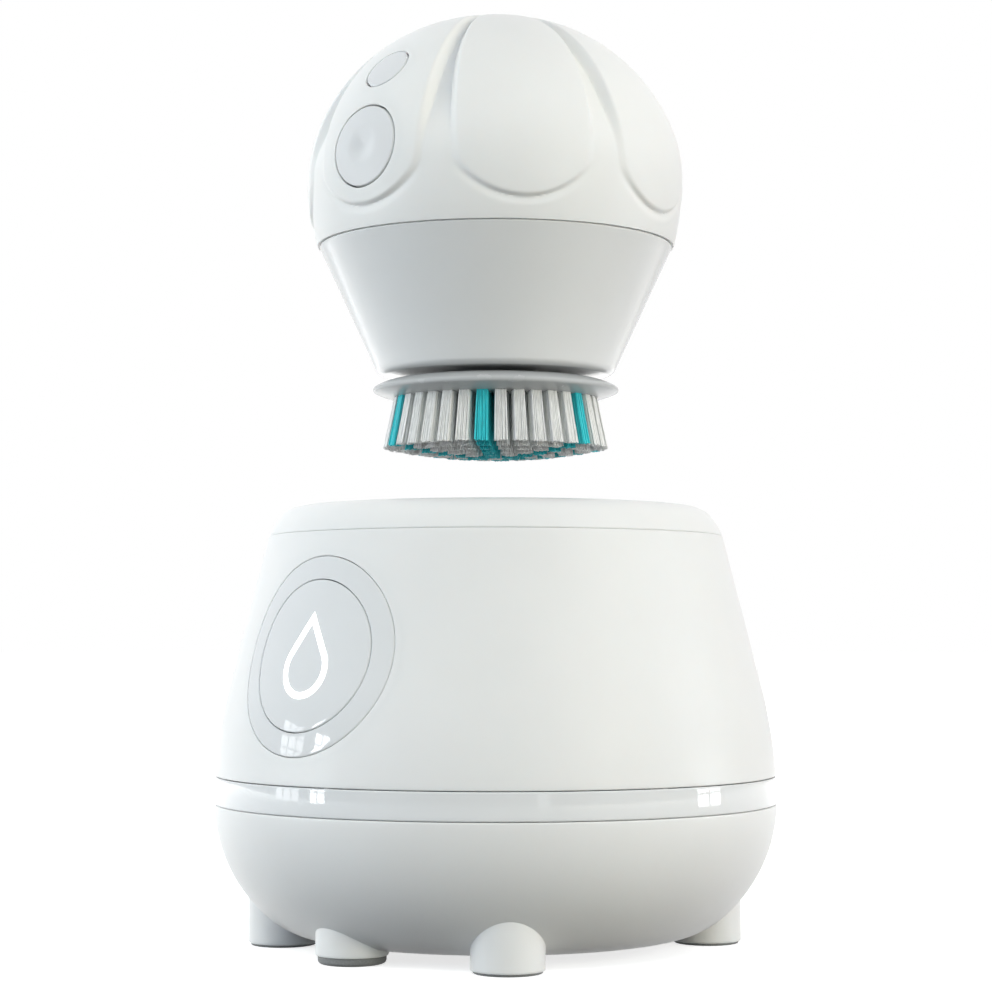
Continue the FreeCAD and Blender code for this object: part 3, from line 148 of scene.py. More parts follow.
def straight(start, end, step=1.5):
    """Points along a straight line, about one step apart, with both its ends."""
    start, end = Vector(start), Vector(end)
    count = max(1, math.ceil((end - start).length / step))
    return [start.lerp(end, number / count) for number in range(count + 1)]


def joined(*lines):
    """Several lines as one, without double points."""
    points = []
    for line in lines:
        for point in line:
            if not points or (Vector(point) - points[-1]).length > 1e-4:
                points.append(Vector(point))
    return points


def flipped(points):
    """A line mirrored and run the other way, so that its last end comes first."""
    return [Vector((-point.x, point.y)) for point in reversed(points)]


def soft_end(points, radius, depth):
    """The first end of a line, rounded over and run inward, to its left."""
    along = (points[1] - points[0]).normalized()
    inward = Vector((-along.y, along.x))
    centre = points[0] + (along + inward) * radius
    end = [centre - along * radius + inward * (depth - radius)]
    for number in range(6):
        turn = math.radians(18 * number)
        end.append(centre - along * radius * math.cos(turn) - inward * radius * math.sin(turn))
    return end + [point for point in points if (point - points[0]).dot(along) > radius]


def soft_ends(points, radius=SEAM_ROUND, depth=1.6):
    """A line whose two ends round over and run inward; outside is on its right."""
    line = soft_end(points, radius, depth)
    return flipped(soft_end(flipped(line), radius, depth))


# Meshes from lines

def lathe(line, segments=288, closed=False):
    """Vertices and faces of a line of (radius, height) turned about Z."""
    vertices = []
    rows = []
    for radius, height in line:
        if radius < 1e-6:
            rows.append([len(vertices)] * segments)
            vertices.append(Vector((0, 0, height)))
            continue
        rows.append(list(range(len(vertices), len(vertices) + segments)))
        for number in range(segments):
            turn = math.tau * number / segments
            vertices.append(Vector((radius * math.cos(turn), radius * math.sin(turn), height)))
    if closed:
        rows.append(rows[0])
    return vertices, row_faces(rows)


def row_faces(rows):
    """Faces between neighbouring rows that each close on themselves."""
    faces = []
    for lower, upper in zip(rows, rows[1:]):
        for number in range(len(lower)):
            following = (number + 1) % len(lower)
            corners = [lower[number], lower[following], upper[following], upper[number]]
            unique = list(dict.fromkeys(corners))
            if len(unique) > 2:
                faces.append(unique)
    return faces


SMOOTH_ANGLE = 40


def mesh_object(name, vertices, faces, smooth_angle=SMOOTH_ANGLE):
    """A smooth-shaded object in metres from millimetre vertices."""
    mesh = bpy.data.meshes.new(name)
    mesh.from_pydata([tuple(vertex * MM) for vertex in vertices], [], faces)
    mesh.validate()
    mesh.shade_smooth()
    mesh.set_sharp_from_angle(angle=math.radians(smooth_angle))
    item = bpy.data.objects.new(name, mesh)
    bpy.context.scene.collection.objects.link(item)
    return item


def tilted(point, normal):
    """A matrix that puts a turned form on a point with its axis along the normal."""
    return Matrix.Translation(point) @ normal.to_track_quat("Z", "Y").to_matrix().to_4x4()


def cut_with(item, vertices, faces):
    """Takes a closed form out of a mesh object."""
    cutter = mesh_object(item.name + "_cutter", vertices, faces)
    modifier = item.modifiers.new("cut", "BOOLEAN")
    modifier.operation = "DIFFERENCE"
    modifier.solver = "EXACT"
    modifier.object = cutter
    bpy.context.view_layer.update()
    shaped = bpy.data.meshes.new_from_object(
        item.evaluated_get(bpy.context.evaluated_depsgraph_get()))
    item.modifiers.clear()
    old = item.data
    item.data = shaped
    bpy.data.meshes.remove(old)
    bpy.data.objects.remove(cutter)
    item.data.shade_smooth()
    item.data.set_sharp_from_angle(angle=math.radians(SMOOTH_ANGLE))


def rod(point, normal, radius, low, high, segments=128):
    """A closed cylinder along a normal, from low to high of the point."""
    vertices, faces = lathe([(0, low), (radius, low), (radius, high), (0, high)], segments)
    place = tilted(point, normal)
    return [place @ vertex for vertex in vertices], faces


def finished(item, body, slot_name, *nodes):
    """Gives a piece its body and the material of its slot, and hides the nodes that it stands
    for.
    """
    item.data.materials.clear()
    item.data.materials.append(material(slot_name))
    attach(item, body)
    if nodes:
        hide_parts(*nodes)


# Materials

def put(node, values):
    """Sets a node's inputs by their names."""
    for name, value in values.items():
        node.inputs[name].default_value = value


def emptied(owner):
    """The cleared node tree of a material or a world."""
    owner.use_nodes = True
    owner.node_tree.nodes.clear()
    return owner.node_tree


def shader_nodes(name):
    """A new node material with its tree, its shader and a metre-scale coordinate."""
    made = bpy.data.materials.new(name)
    made.use_nodes = True
    tree = made.node_tree
    shader = tree.nodes["Principled BSDF"]
    place = tree.nodes.new("ShaderNodeTexCoord")
    return made, tree, shader, place


def noise(tree, place, scale, detail=3.0, stretch=None):
    """A noise value; a stretch squeezes the coordinate along its axes."""
    vector = place.outputs["Object"]
    if stretch:
        mapping = tree.nodes.new("ShaderNodeMapping")
        mapping.inputs["Scale"].default_value = stretch
        tree.links.new(vector, mapping.inputs["Vector"])
        vector = mapping.outputs["Vector"]
    texture = tree.nodes.new("ShaderNodeTexNoise")
    put(texture, {"Scale": scale, "Detail": detail})
    tree.links.new(vector, texture.inputs["Vector"])
    return texture.outputs["Fac"]


def spread(tree, value, low, high):
    """A value from about 0.3 to 0.7 spread from low to high."""
    ranged = tree.nodes.new("ShaderNodeMapRange")
    put(ranged, {"From Min": 0.3, "From Max": 0.7, "To Min": low, "To Max": high})
    tree.links.new(value, ranged.inputs["Value"])
    return ranged.outputs["Result"]


def mixed(tree, value, first, second):
    """A colour between two, by a value from about 0.3 to 0.7."""
    mix = tree.nodes.new("ShaderNodeMix")
    mix.data_type = "RGBA"
    put(mix, {"A": (*first, 1), "B": (*second, 1)})
    tree.links.new(spread(tree, value, 0, 1), mix.inputs["Factor"])
    return mix.outputs["Result"]


def bumped(tree, shader, value, distance):
    """Relief on a shader from a value; the distance is in metres."""
    bump = tree.nodes.new("ShaderNodeBump")
    put(bump, {"Strength": 1.0, "Distance": distance})
    tree.links.new(value, bump.inputs["Height"])
    tree.links.new(bump.outputs["Normal"], shader.inputs["Normal"])


def plastic(name, colour, rough, grain=6000, depth_um=2.0, coat=0.0, change=0.012, cast=0.0):
    """Moulded plastic: a faint cloudiness, uneven gloss and a fine moulded grain."""
    made, tree, shader, place = shader_nodes(name)
    cloud = noise(tree, place, 55, 4)
    darker = [channel - change for channel in colour]
    lighter = [channel + change for channel in colour]
    tree.links.new(mixed(tree, cloud, darker, lighter), shader.inputs["Base Color"])
    smear = noise(tree, place, 140, 5)
    tree.links.new(spread(tree, smear, rough * 0.93, rough * 1.07), shader.inputs["Roughness"])
    if depth_um:
        bumped(tree, shader, noise(tree, place, grain, 2), depth_um * 1e-6)
    put(shader, {"IOR": 1.48, "Coat Weight": coat, "Coat Roughness": 0.015})
    if cast:
        put(shader, {"Subsurface Weight": cast, "Subsurface Scale": 1.0,
                     "Subsurface Radius": (0.0012, 0.001, 0.0009)})
    return made


def metal(name, colour, rough, lines=900):
    """Turned or drawn metal with fine lines round it."""
    made, tree, shader, place = shader_nodes(name)
    streaks = noise(tree, place, lines, 3, (1, 1, 14))
    darker = [channel * 0.88 for channel in colour]
    tree.links.new(mixed(tree, streaks, darker, colour), shader.inputs["Base Color"])
    tree.links.new(spread(tree, streaks, rough * 0.8, rough * 1.25), shader.inputs["Roughness"])
    bumped(tree, shader, streaks, 3e-6)
    shader.inputs["Metallic"].default_value = 1.0
    return made


def rubber(name, colour):
    """Soft matte rubber with a fine pebbled skin."""
    made, tree, shader, place = shader_nodes(name)
    grain = noise(tree, place, 3500, 3)
    lighter = [channel * 1.25 for channel in colour]
    tree.links.new(mixed(tree, grain, colour, lighter), shader.inputs["Base Color"])
    tree.links.new(spread(tree, noise(tree, place, 300), 0.62, 0.78), shader.inputs["Roughness"])
    bumped(tree, shader, grain, 12e-6)
    return made


def filament(name, colour, dark):
    """Nylon filament: lengthwise streaks, a soft sheen and some light through it."""
    made, tree, shader, place = shader_nodes(name)
    streaks = noise(tree, place, 2600, 3, (1, 1, 0.05))
    tree.links.new(mixed(tree, streaks, dark, colour), shader.inputs["Base Color"])
    tree.links.new(spread(tree, streaks, 0.32, 0.46), shader.inputs["Roughness"])
    bumped(tree, shader, noise(tree, place, 5200, 2, (1, 1, 0.08)), 6e-6)
    put(shader, {"Subsurface Weight": 0.25, "Subsurface Scale": 1.0,
                 "Subsurface Radius": (0.0008, 0.0008, 0.0008)})
    return made


def glow(name, colour, strength):
    """A lit light guide: a little brighter along the middle of its cloudiness."""
    made, tree, shader, place = shader_nodes(name)
    cloud = noise(tree, place, 260, 2)
    tree.links.new(mixed(tree, cloud, [0.97 * channel for channel in colour], colour),
                   shader.inputs["Emission Color"])
    tree.links.new(mixed(tree, cloud, (0.9, 0.9, 0.9), (0.96, 0.96, 0.96)),
                   shader.inputs["Base Color"])
    tree.links.new(spread(tree, cloud, 0.2, 0.26), shader.inputs["Roughness"])
    shader.inputs["Emission Strength"].default_value = strength
    return made


def clear(name, colour):
    """Clear window with a slight tint and the faintest waviness."""
    made, tree, shader, place = shader_nodes(name)
    ripple = noise(tree, place, 180, 2)
    tree.links.new(mixed(tree, ripple, [0.96 * channel for channel in colour], colour),
                   shader.inputs["Base Color"])
    tree.links.new(spread(tree, ripple, 0.03, 0.07), shader.inputs["Roughness"])
    bumped(tree, shader, ripple, 8e-6)
    shader.inputs["Transmission Weight"].default_value = 0.9
    return made


def circuit(name):
    """Lacquered board: green with a paler pattern of tracks."""
    made, tree, shader, place = shader_nodes(name)
    tracks = tree.nodes.new("ShaderNodeTexBrick")
    put(tracks, {"Scale": 420, "Color1": (0.012, 0.13, 0.06, 1),
                 "Color2": (0.015, 0.16, 0.075, 1), "Mortar": (0.05, 0.26, 0.13, 1)})
    tree.links.new(place.outputs["Object"], tracks.inputs["Vector"])
    tree.links.new(tracks.outputs["Color"], shader.inputs["Base Color"])
    tree.links.new(spread(tree, noise(tree, place, 400), 0.25, 0.4), shader.inputs["Roughness"])
    bumped(tree, shader, tracks.outputs["Fac"], 15e-6)
    return made


MAKERS = {
    "dock_white": lambda name: plastic(name, (0.83, 0.83, 0.825), 0.36, depth_um=1.5, cast=0.15),
    "glossy_white": lambda name: plastic(name, (0.765, 0.775, 0.785), 0.05, depth_um=0.0,
                                         coat=0.4, cast=0.1),
    "handle_white": lambda name: plastic(name, (0.84, 0.84, 0.83), 0.42, depth_um=1.8, cast=0.2),
    "cone_white": lambda name: plastic(name, (0.785, 0.79, 0.79), 0.15, depth_um=0.5, cast=0.1),
    "button_white": lambda name: plastic(name, (0.745, 0.75, 0.76), 0.36, cast=0.1),
    "liner_white": lambda name: plastic(name, (0.78, 0.80, 0.81), 0.35),
    "plate_grey": lambda name: plastic(name, (0.45, 0.46, 0.465), 0.26, depth_um=0.6),
    "bristle_white": lambda name: filament(name, (0.88, 0.88, 0.865), (0.68, 0.68, 0.67)),
    "bristle_teal": lambda name: filament(name, (0.035, 0.60, 0.66), (0.018, 0.43, 0.49)),
    "foot_rubber": lambda name: rubber(name, (0.20, 0.205, 0.205)),
    "seal_rubber": lambda name: rubber(name, (0.09, 0.09, 0.092)),
    "inner_plastic": lambda name: plastic(name, (0.28, 0.29, 0.30), 0.5),
    "dark_plastic": lambda name: plastic(name, (0.05, 0.05, 0.055), 0.45, change=0.006),
    "battery_wrap": lambda name: plastic(name, (0.10, 0.22, 0.45), 0.22, change=0.02),
    "circuit_board": circuit,
    "copper": lambda name: metal(name, (0.85, 0.45, 0.25), 0.3),
    "steel": lambda name: metal(name, (0.62, 0.62, 0.63), 0.28),
    "brass": lambda name: metal(name, (0.80, 0.62, 0.30), 0.3),
    "lamp_glass": lambda name: clear(name, (0.86, 0.90, 1.0)),
    "lamp": lambda name: glow(name, (1.0, 0.98, 0.9), 0.6),
    "glow": lambda name: glow(name, (1.0, 1.0, 1.0), 1.6),
}
materials = {}


def material(slot_name):
    """The material of a slot, made when it is first asked for."""
    if slot_name not in materials:
        materials[slot_name] = MAKERS[slot_name](slot_name)
    return materials[slot_name]


def paint_frame():
    """Gives every carried-over node the material of its slot."""
    for subpart in frame["record"]["subparts"]:
        item = frame["nodes"][subpart["node"]]
        item.data.materials.clear()
        item.data.materials.append(material(subpart["material_slot"]))


# Outer wall of the dock

def wall_radius(height):
    """Radius of the dock's wall: a straight lean that runs into the belly's arc."""
    tangent = BELLY_HEIGHT + WALL_ARC * math.sin(WALL_LEAN)
    if height > tangent:
        radius = BELLY_RADIUS - WALL_ARC * (1 - math.cos(WALL_LEAN))
        return radius - (height - tangent) * math.tan(WALL_LEAN)
    if height > BELLY_HEIGHT:
        return BELLY_RADIUS - WALL_ARC + math.sqrt(WALL_ARC ** 2 - (height - BELLY_HEIGHT) ** 2)
    side = BELLY_RADIUS - BOWL_SIDE
    corner = BOWL_SIDE - BOWL_CORNER
    turn_height = BELLY_HEIGHT - BOWL_SIDE * math.sin(BOWL_TURN)
    if height > turn_height:
        return side + math.sqrt(BOWL_SIDE ** 2 - (BELLY_HEIGHT - height) ** 2)
    below = BELLY_HEIGHT - corner * math.sin(BOWL_TURN) - height
    return side + corner * math.cos(BOWL_TURN) + math.sqrt(max(BOWL_CORNER ** 2 - below ** 2, 0))


def wall_line(low, high, step=1.0):
    """Points up the wall from low to high."""
    count = math.ceil((high - low) / step)
    heights = [low + (high - low) * number / count for number in range(count + 1)]
    return [Vector((wall_radius(height), height)) for height in heights]


def pierce(point, direction, radius_at):
    """Where a line through a point meets a turned surface that it faces."""
    along = 0.0
    for _ in range(30):
        spot = point + direction * along
        along += (radius_at(spot.z) - spot.xy.length) * 0.9
    return point + direction * along


def patch(centre, normal, rings, radius_at, segments=192):
    """A round patch on a turned surface; a ring is (radius, depth below the surface)."""
    sideways = Vector((1, 0, 0))
    upward = normal.cross(sideways).normalized() * -1
    vertices = []
    rows = []
    for radius, depth in rings:
        if radius < 1e-6:
            rows.append([len(vertices)] * segments)
            vertices.append(pierce(centre, normal, radius_at) - normal * depth)
            continue
        rows.append(list(range(len(vertices), len(vertices) + segments)))
        for number in range(segments):
            turn = math.tau * number / segments
            point = centre + (sideways * math.cos(turn) + upward * math.sin(turn)) * radius
            vertices.append(pierce(point, normal, radius_at) - normal * depth)
    return vertices, row_faces(rows[::-1])


def edge_rings(radius, outside, depth, roundness=SEAM_ROUND):
    """Rings that round an edge over and run down; outside is 1 for an outer edge."""
    rings = []
    for number in range(6):
        turn = math.radians(18 * number)
        rings.append((radius - outside * roundness * (1 - math.sin(turn)),
                      roundness * (1 - math.cos(turn))))
    rings.append((radius, depth))
    return rings if outside > 0 else rings[::-1]


def flat_rings(inner, outer, step=1.0):
    """Rings on the surface between two radii, without the two themselves."""
    count = max(1, math.ceil((outer - inner) / step))
    return [(inner + (outer - inner) * number / count, 0.0) for number in range(1, count)]


panel_normal = Vector((0, -math.cos(WALL_LEAN), math.sin(WALL_LEAN)))
panel_centre = Vector((0, -wall_radius(PANEL_HEIGHT), PANEL_HEIGHT))


def make_shell():
    """The upper shell, with a round opening whose lip is a finer patch of the wall."""
    line = soft_ends(wall_line(BAND_HIGH + SHELL_CLEAR, SHELL_TOP - SHELL_CLEAR),
                     depth=SHELL_WALL)
    shell = mesh_object("shell_skin", *lathe(line, 360, closed=True))
    lip = PANEL_RADIUS + 1.2
    cut_with(shell, *rod(panel_centre, panel_normal, lip, -20, 20, 192))
    finished(shell, "dock", "dock_white", "dock_shell")
    rings = edge_rings(PANEL_RADIUS, -1, SHELL_WALL)
    rings += flat_rings(PANEL_RADIUS + SEAM_ROUND, lip, 0.4) + [(lip, 0.0)]
    collar = mesh_object("shell_lip", *patch(panel_centre, panel_normal, rings, wall_radius))
    finished(collar, "dock", "dock_white")


def make_panel():
    """The glossy ring and lens in the shell's opening."""
    inner = LENS_RADIUS + PANEL_GAP
    outer = PANEL_RADIUS - PANEL_GAP
    rings = edge_rings(inner, -1, PANEL_DEEP)
    rings += flat_rings(inner + SEAM_ROUND, outer - SEAM_ROUND, 0.6)
    rings += edge_rings(outer, 1, PANEL_DEEP)
    ring = mesh_object("ring_skin", *patch(panel_centre, panel_normal, rings, wall_radius))
    finished(ring, "dock", "glossy_white", "lens_ring")
    edge = LENS_RADIUS - PANEL_GAP / 2
    rings = [(0, 0)] + flat_rings(0, edge - SEAM_ROUND, 0.6) + edge_rings(edge, 1, PANEL_DEEP)
    lens = mesh_object("lens_skin", *patch(panel_centre, panel_normal, rings, wall_radius))
    finished(lens, "dock", "glossy_white", "panel_lens")


def drop_outline(inset, count):
    """Points round a water drop, level with a step of its outline inside its edge."""
    radius = DROP_RADIUS - inset
    centre = DROP_RADIUS - DROP_TALL / 2
    tip = DROP_TALL - DROP_RADIUS
    lean = math.asin(DROP_RADIUS / tip)
    points = []
    for number in range(count):
        turn = -math.pi - lean + (math.pi + 2 * lean) * number / (count - 1)
        points.append((radius * math.cos(turn), centre + radius * math.sin(turn)))
    top = (0.0, centre + radius / math.sin(lean))
    flank = []
    for number in range(1, count):
        share = number / count
        flank.append(tuple(a + (b - a) * share for a, b in zip(points[-1], top)))
    other = [(-x, y) for x, y in reversed(flank)]
    return points + flank + [top] + other


def make_drop():
    """The lit drop: a band between two drop outlines that stands a hair off the lens."""
    vertices = []
    rows = []
    upward = Vector((0, math.sin(WALL_LEAN), math.cos(WALL_LEAN)))
    for inset, depth in ((0, 0.3), (0, -0.03), (0.06, -0.06), (DROP_STROKE - 0.06, -0.06),
                         (DROP_STROKE, -0.03), (DROP_STROKE, 0.3)):
        rows.append([])
        for x, y in drop_outline(inset, 40):
            point = panel_centre + Vector((1, 0, 0)) * x + upward * y
            rows[-1].append(len(vertices))
            vertices.append(pierce(point, panel_normal, wall_radius) - panel_normal * depth)
    drop = mesh_object("drop_skin", vertices, row_faces(rows))
    finished(drop, "dock", "glow", "glow_drop")


def seat_radius(height):
    """Radius of the conical seat that the docked handle rests in."""
    slope = (CONE_TOP - CONE_BOTTOM) / CONE_TALL
    return CONE_TOP - (SEAM - height - HOVER) * slope + SEAT_GAP


def make_rim():
    """The rim over the shell, rounded into the mouth and down the seat."""
    low = SHELL_TOP
    corner_height = RIM_CREST - RIM_CORNER
    side_height = corner_height - (RIM_SIDE - RIM_CORNER) * math.sin(RIM_TURN)
    first = math.asin((low - side_height) / RIM_SIDE)
    side_radius = wall_radius(low) - RIM_SIDE * math.cos(first)
    corner_radius = side_radius + (RIM_SIDE - RIM_CORNER) * math.cos(RIM_TURN)
    mouth = seat_radius(RIM_CREST - MOUTH_ROUND) + MOUTH_ROUND
    outer = joined(
        arc_line((side_radius, side_height), RIM_SIDE, first, RIM_TURN, 0.6),
        arc_line((corner_radius, corner_height), RIM_CORNER, RIM_TURN, math.pi / 2, 0.4),
        straight((corner_radius, RIM_CREST), (mouth, RIM_CREST), 1.0),
        arc_line((mouth, RIM_CREST - MOUTH_ROUND), MOUTH_ROUND, math.pi / 2, math.pi, 0.3),
        straight((mouth - MOUTH_ROUND, RIM_CREST - MOUTH_ROUND), (seat_radius(low), low), 1.0))
    line = soft_ends(outer, depth=1.4)
    rim = mesh_object("rim_skin", *lathe(line, 360))
    finished(rim, "dock", "dock_white", "dock_rim")


def make_band():
    """The glossy band between bowl and shell."""
    line = soft_ends(wall_line(BAND_LOW + SHELL_CLEAR, BAND_HIGH - SHELL_CLEAR, 0.5))
    band = mesh_object("band_skin", *lathe(line, 480))
    finished(band, "dock", "glossy_white", "trim_band")


def make_bowl():
    """The lower bowl with the slots of its air intake."""
    corner_height = BELLY_HEIGHT - (BOWL_SIDE - BOWL_CORNER) * math.sin(BOWL_TURN)
    corner_radius = BELLY_RADIUS - BOWL_SIDE + (BOWL_SIDE - BOWL_CORNER) * math.cos(BOWL_TURN)
    floor = corner_height - BOWL_CORNER
    side_centre = (BELLY_RADIUS - BOWL_SIDE, BELLY_HEIGHT)
    top_turn = -math.asin((BELLY_HEIGHT - BAND_LOW + SHELL_CLEAR) / BOWL_SIDE)
    outer = joined(
        arc_line((corner_radius, corner_height), BOWL_CORNER, -math.pi / 2, -BOWL_TURN, 0.8),
        arc_line(side_centre, BOWL_SIDE, -BOWL_TURN, top_turn, 0.9))
    line = flipped(soft_end(flipped(outer), SEAM_ROUND, SHELL_WALL))
    inside = [Vector((corner_radius, floor + SHELL_WALL)), Vector((0, floor + SHELL_WALL))]
    base = [Vector((0, floor))] + straight((5, floor), (corner_radius, floor), 5)
    bowl = mesh_object("bowl_skin", *lathe(joined(base, line, inside), 288))
    vertices = []
    faces = []
    for number in range(SLOTS):
        slot_vertices, slot_faces = slot_cutter(360 / SLOTS * (number + 0.5), floor)
        faces += [[corner + len(vertices) for corner in face] for face in slot_faces]
        vertices += slot_vertices
    cut_with(bowl, vertices, faces)
    finished(bowl, "dock", "dock_white", "dock_bowl")


def slot_cutter(turn, floor):
    """A radial slot with round ends through the bowl's floor."""
    outline = []
    for centre, first in ((SLOT_OUTER - SLOT_HALF, -90), (SLOT_INNER + SLOT_HALF, 90)):
        for number in range(9):
            angle = math.radians(first + 22.5 * number)
            outline.append(Vector((centre + SLOT_HALF * math.cos(angle),
                                   SLOT_HALF * math.sin(angle), 0)))
    rotation = Matrix.Rotation(math.radians(turn), 3, "Z")
    low = [rotation @ point + UP * (floor - 1) for point in outline]
    high = [rotation @ point + UP * (floor + SHELL_WALL + 1) for point in outline]
    count = len(outline)
    faces = [[number, (number + 1) % count, count + (number + 1) % count, count + number]
             for number in range(count)]
    faces += [list(range(count))[::-1], list(range(count, 2 * count))]
    return low + high, faces


def make_feet():
    """Round feet whose tops follow the bowl, with eased lower edges, on their pads."""
    for name, turn in FOOT_TURNS.items():
        reach = FRONT_FOOT_RING if name == "front" else FOOT_RING
        centre = Vector((reach * math.sin(math.radians(turn)),
                         -reach * math.cos(math.radians(turn)), 0))
        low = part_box("foot_" + name)[0].z / MM
        segments = 96
        vertices = []
        rows = []
        for radius, lift in ((FOOT_RADIUS - 0.6, 0.0), (FOOT_RADIUS - 0.25, 0.0),
                             (FOOT_RADIUS - 0.07, 0.08), (FOOT_RADIUS, 0.25), (FOOT_RADIUS, 0.5),
                             (FOOT_RADIUS, None)):
            rows.append([])
            for number in range(segments):
                angle = math.tau * number / segments
                point = centre + Vector((math.cos(angle), math.sin(angle), 0)) * radius
                point.z = bowl_height(point.xy.length) + 0.25 if lift is None else low + lift
                rows[-1].append(len(vertices))
                vertices.append(point)
        foot = mesh_object(name + "_foot_skin", vertices, row_faces(rows))
        finished(foot, "dock", "dock_white", "foot_" + name)
        edge = min(0.7, low * 0.6)
        line = joined([(0, 0), (2, 0), (PAD_RADIUS - edge - 0.8, 0)],
                      arc_line((PAD_RADIUS - edge, edge), edge, -math.pi / 2, 0, 0.12),
                      [(PAD_RADIUS, low), (0, low)])
        turned, faces = lathe(line, 96)
        pad = mesh_object(name + "_pad_skin", [centre + vertex for vertex in turned], faces)
        finished(pad, "dock", "foot_rubber", "foot_pad_" + name)


def bowl_height(radius):
    """Height of the bowl's underside at a radius."""
    low = BELLY_HEIGHT - (BOWL_SIDE - BOWL_CORNER) * math.sin(BOWL_TURN) - BOWL_CORNER
    high = BELLY_HEIGHT
    for _ in range(40):
        middle = (low + high) / 2
        if wall_radius(middle) < radius:
            low = middle
        else:
            high = middle
    return (low + high) / 2


# Petalled dome

def dome_arcs():
    """Centres, radii and turns of the dome's three tangent arcs."""
    side = (BALL_RADIUS - SIDE_ARC, BALL_HEIGHT)
    step = SIDE_ARC - MID_ARC
    mid = (side[0] + step * math.cos(SIDE_TURN), side[1] + step * math.sin(SIDE_TURN))
    top_arc = MID_ARC + mid[0] / math.cos(MID_TURN)
    top = (0.0, mid[1] + (MID_ARC - top_arc) * math.sin(MID_TURN))
    return ((side, SIDE_ARC, 0.0, SIDE_TURN), (mid, MID_ARC, SIDE_TURN, MID_TURN),
            (top, top_arc, MID_TURN, math.pi / 2))


def dome_point(turn):
    """Radius and height on the petals' surface where its normal has this elevation."""
    if turn < 0:
        centre = (BALL_RADIUS - PETAL_BELT_ARC, BALL_HEIGHT)
        return (centre[0] + PETAL_BELT_ARC * math.cos(turn),
                centre[1] + PETAL_BELT_ARC * math.sin(turn))
    for centre, radius, first, last in dome_arcs():
        if first <= turn <= last:
            break
    return centre[0] + radius * math.cos(turn), centre[1] + radius * math.sin(turn)


def dome_radius(height):
    """Radius of the petals' surface at a height."""
    low, high = math.radians(-25), math.pi / 2
    for _ in range(40):
        middle = (low + high) / 2
        if dome_point(middle)[1] < height:
            low = middle
        else:
            high = middle
    return dome_point((low + high) / 2)[0]


def smooth_step(value):
    """An eased share from 0 to 1."""
    value = min(max(value, 0.0), 1.0)
    return value * value * (3 - 2 * value)


def smooth_max(first, second, width):
    """The larger of two values, rounded where they are within a width of each other."""
    share = max(width - abs(first - second), 0.0) / width
    return max(first, second) + share * share * width / 4


CHANNEL_SLOPE = 0.105
TIP_GROOVE = 0.32
CHANNEL_END = SEAM + 38.35
BEVEL_RUN = 1.2
CHANNEL_DEEP = 1.8
CORNER_HEIGHT = SEAM + 10.45
PETAL_HALF = 11.4
PETAL_DROP = 6.2
TIP_ARC = (PETAL_HALF ** 2 + PETAL_DROP ** 2) / (2 * PETAL_DROP)
CREASE_ROUND = 0.26


def petal_depth(side, turn):
    """Depth below the petals' surface, from the azimuth past a petal's middle line."""
    radius, height = dome_point(turn)
    across = radius * side
    half_sector = radius * math.pi / PETALS
    floor_half = CHANNEL_SLOPE * (CHANNEL_END - height)
    floor_half = 0.5 * (floor_half + math.sqrt(floor_half ** 2 + 0.02))
    beyond_side = across - (half_sector - floor_half - BEVEL_RUN)
    below = min(height - (CORNER_HEIGHT - PETAL_DROP + TIP_ARC), 0.0)
    beyond_tip = math.hypot(across, below) - TIP_ARC
    beyond = smooth_max(beyond_side, beyond_tip, 0.6)
    if turn < 0:
        belt = BALL_RADIUS - BELT_DROP - BELT_ARC + math.sqrt(
            BELT_ARC ** 2 - (BALL_HEIGHT - height) ** 2)
        full = max((radius - belt) / math.cos(turn), 0.05)
    else:
        rise = smooth_step((height - BALL_HEIGHT - 0.3) / 12.5)
        full = BELT_DROP + (CHANNEL_DEEP - BELT_DROP) * rise
        full *= 1 - smooth_step((math.degrees(turn) - 64) / 15)
    tip_share = smooth_step((CORNER_HEIGHT + 1 - height) / (PETAL_DROP + 1))
    run = BEVEL_RUN + 0.1 - 0.75 * tip_share
    full += TIP_GROOVE * tip_share * (1 - smooth_step((beyond - run) / 1.6))
    share = beyond / run
    rounded = CREASE_ROUND / run * (1 - 0.45 * tip_share)
    if share <= -rounded:
        return 0.0
    if share < rounded:
        level = (share + rounded) ** 2 / (4 * rounded)
    else:
        level = share
    foot = 0.06
    if level > 1 - foot:
        over = min((level - 1 + foot) / (2 * foot), 1.0)
        level = 1 - foot + 2 * foot * (over - over * over / 2)
    return full * min(level, 1.0)


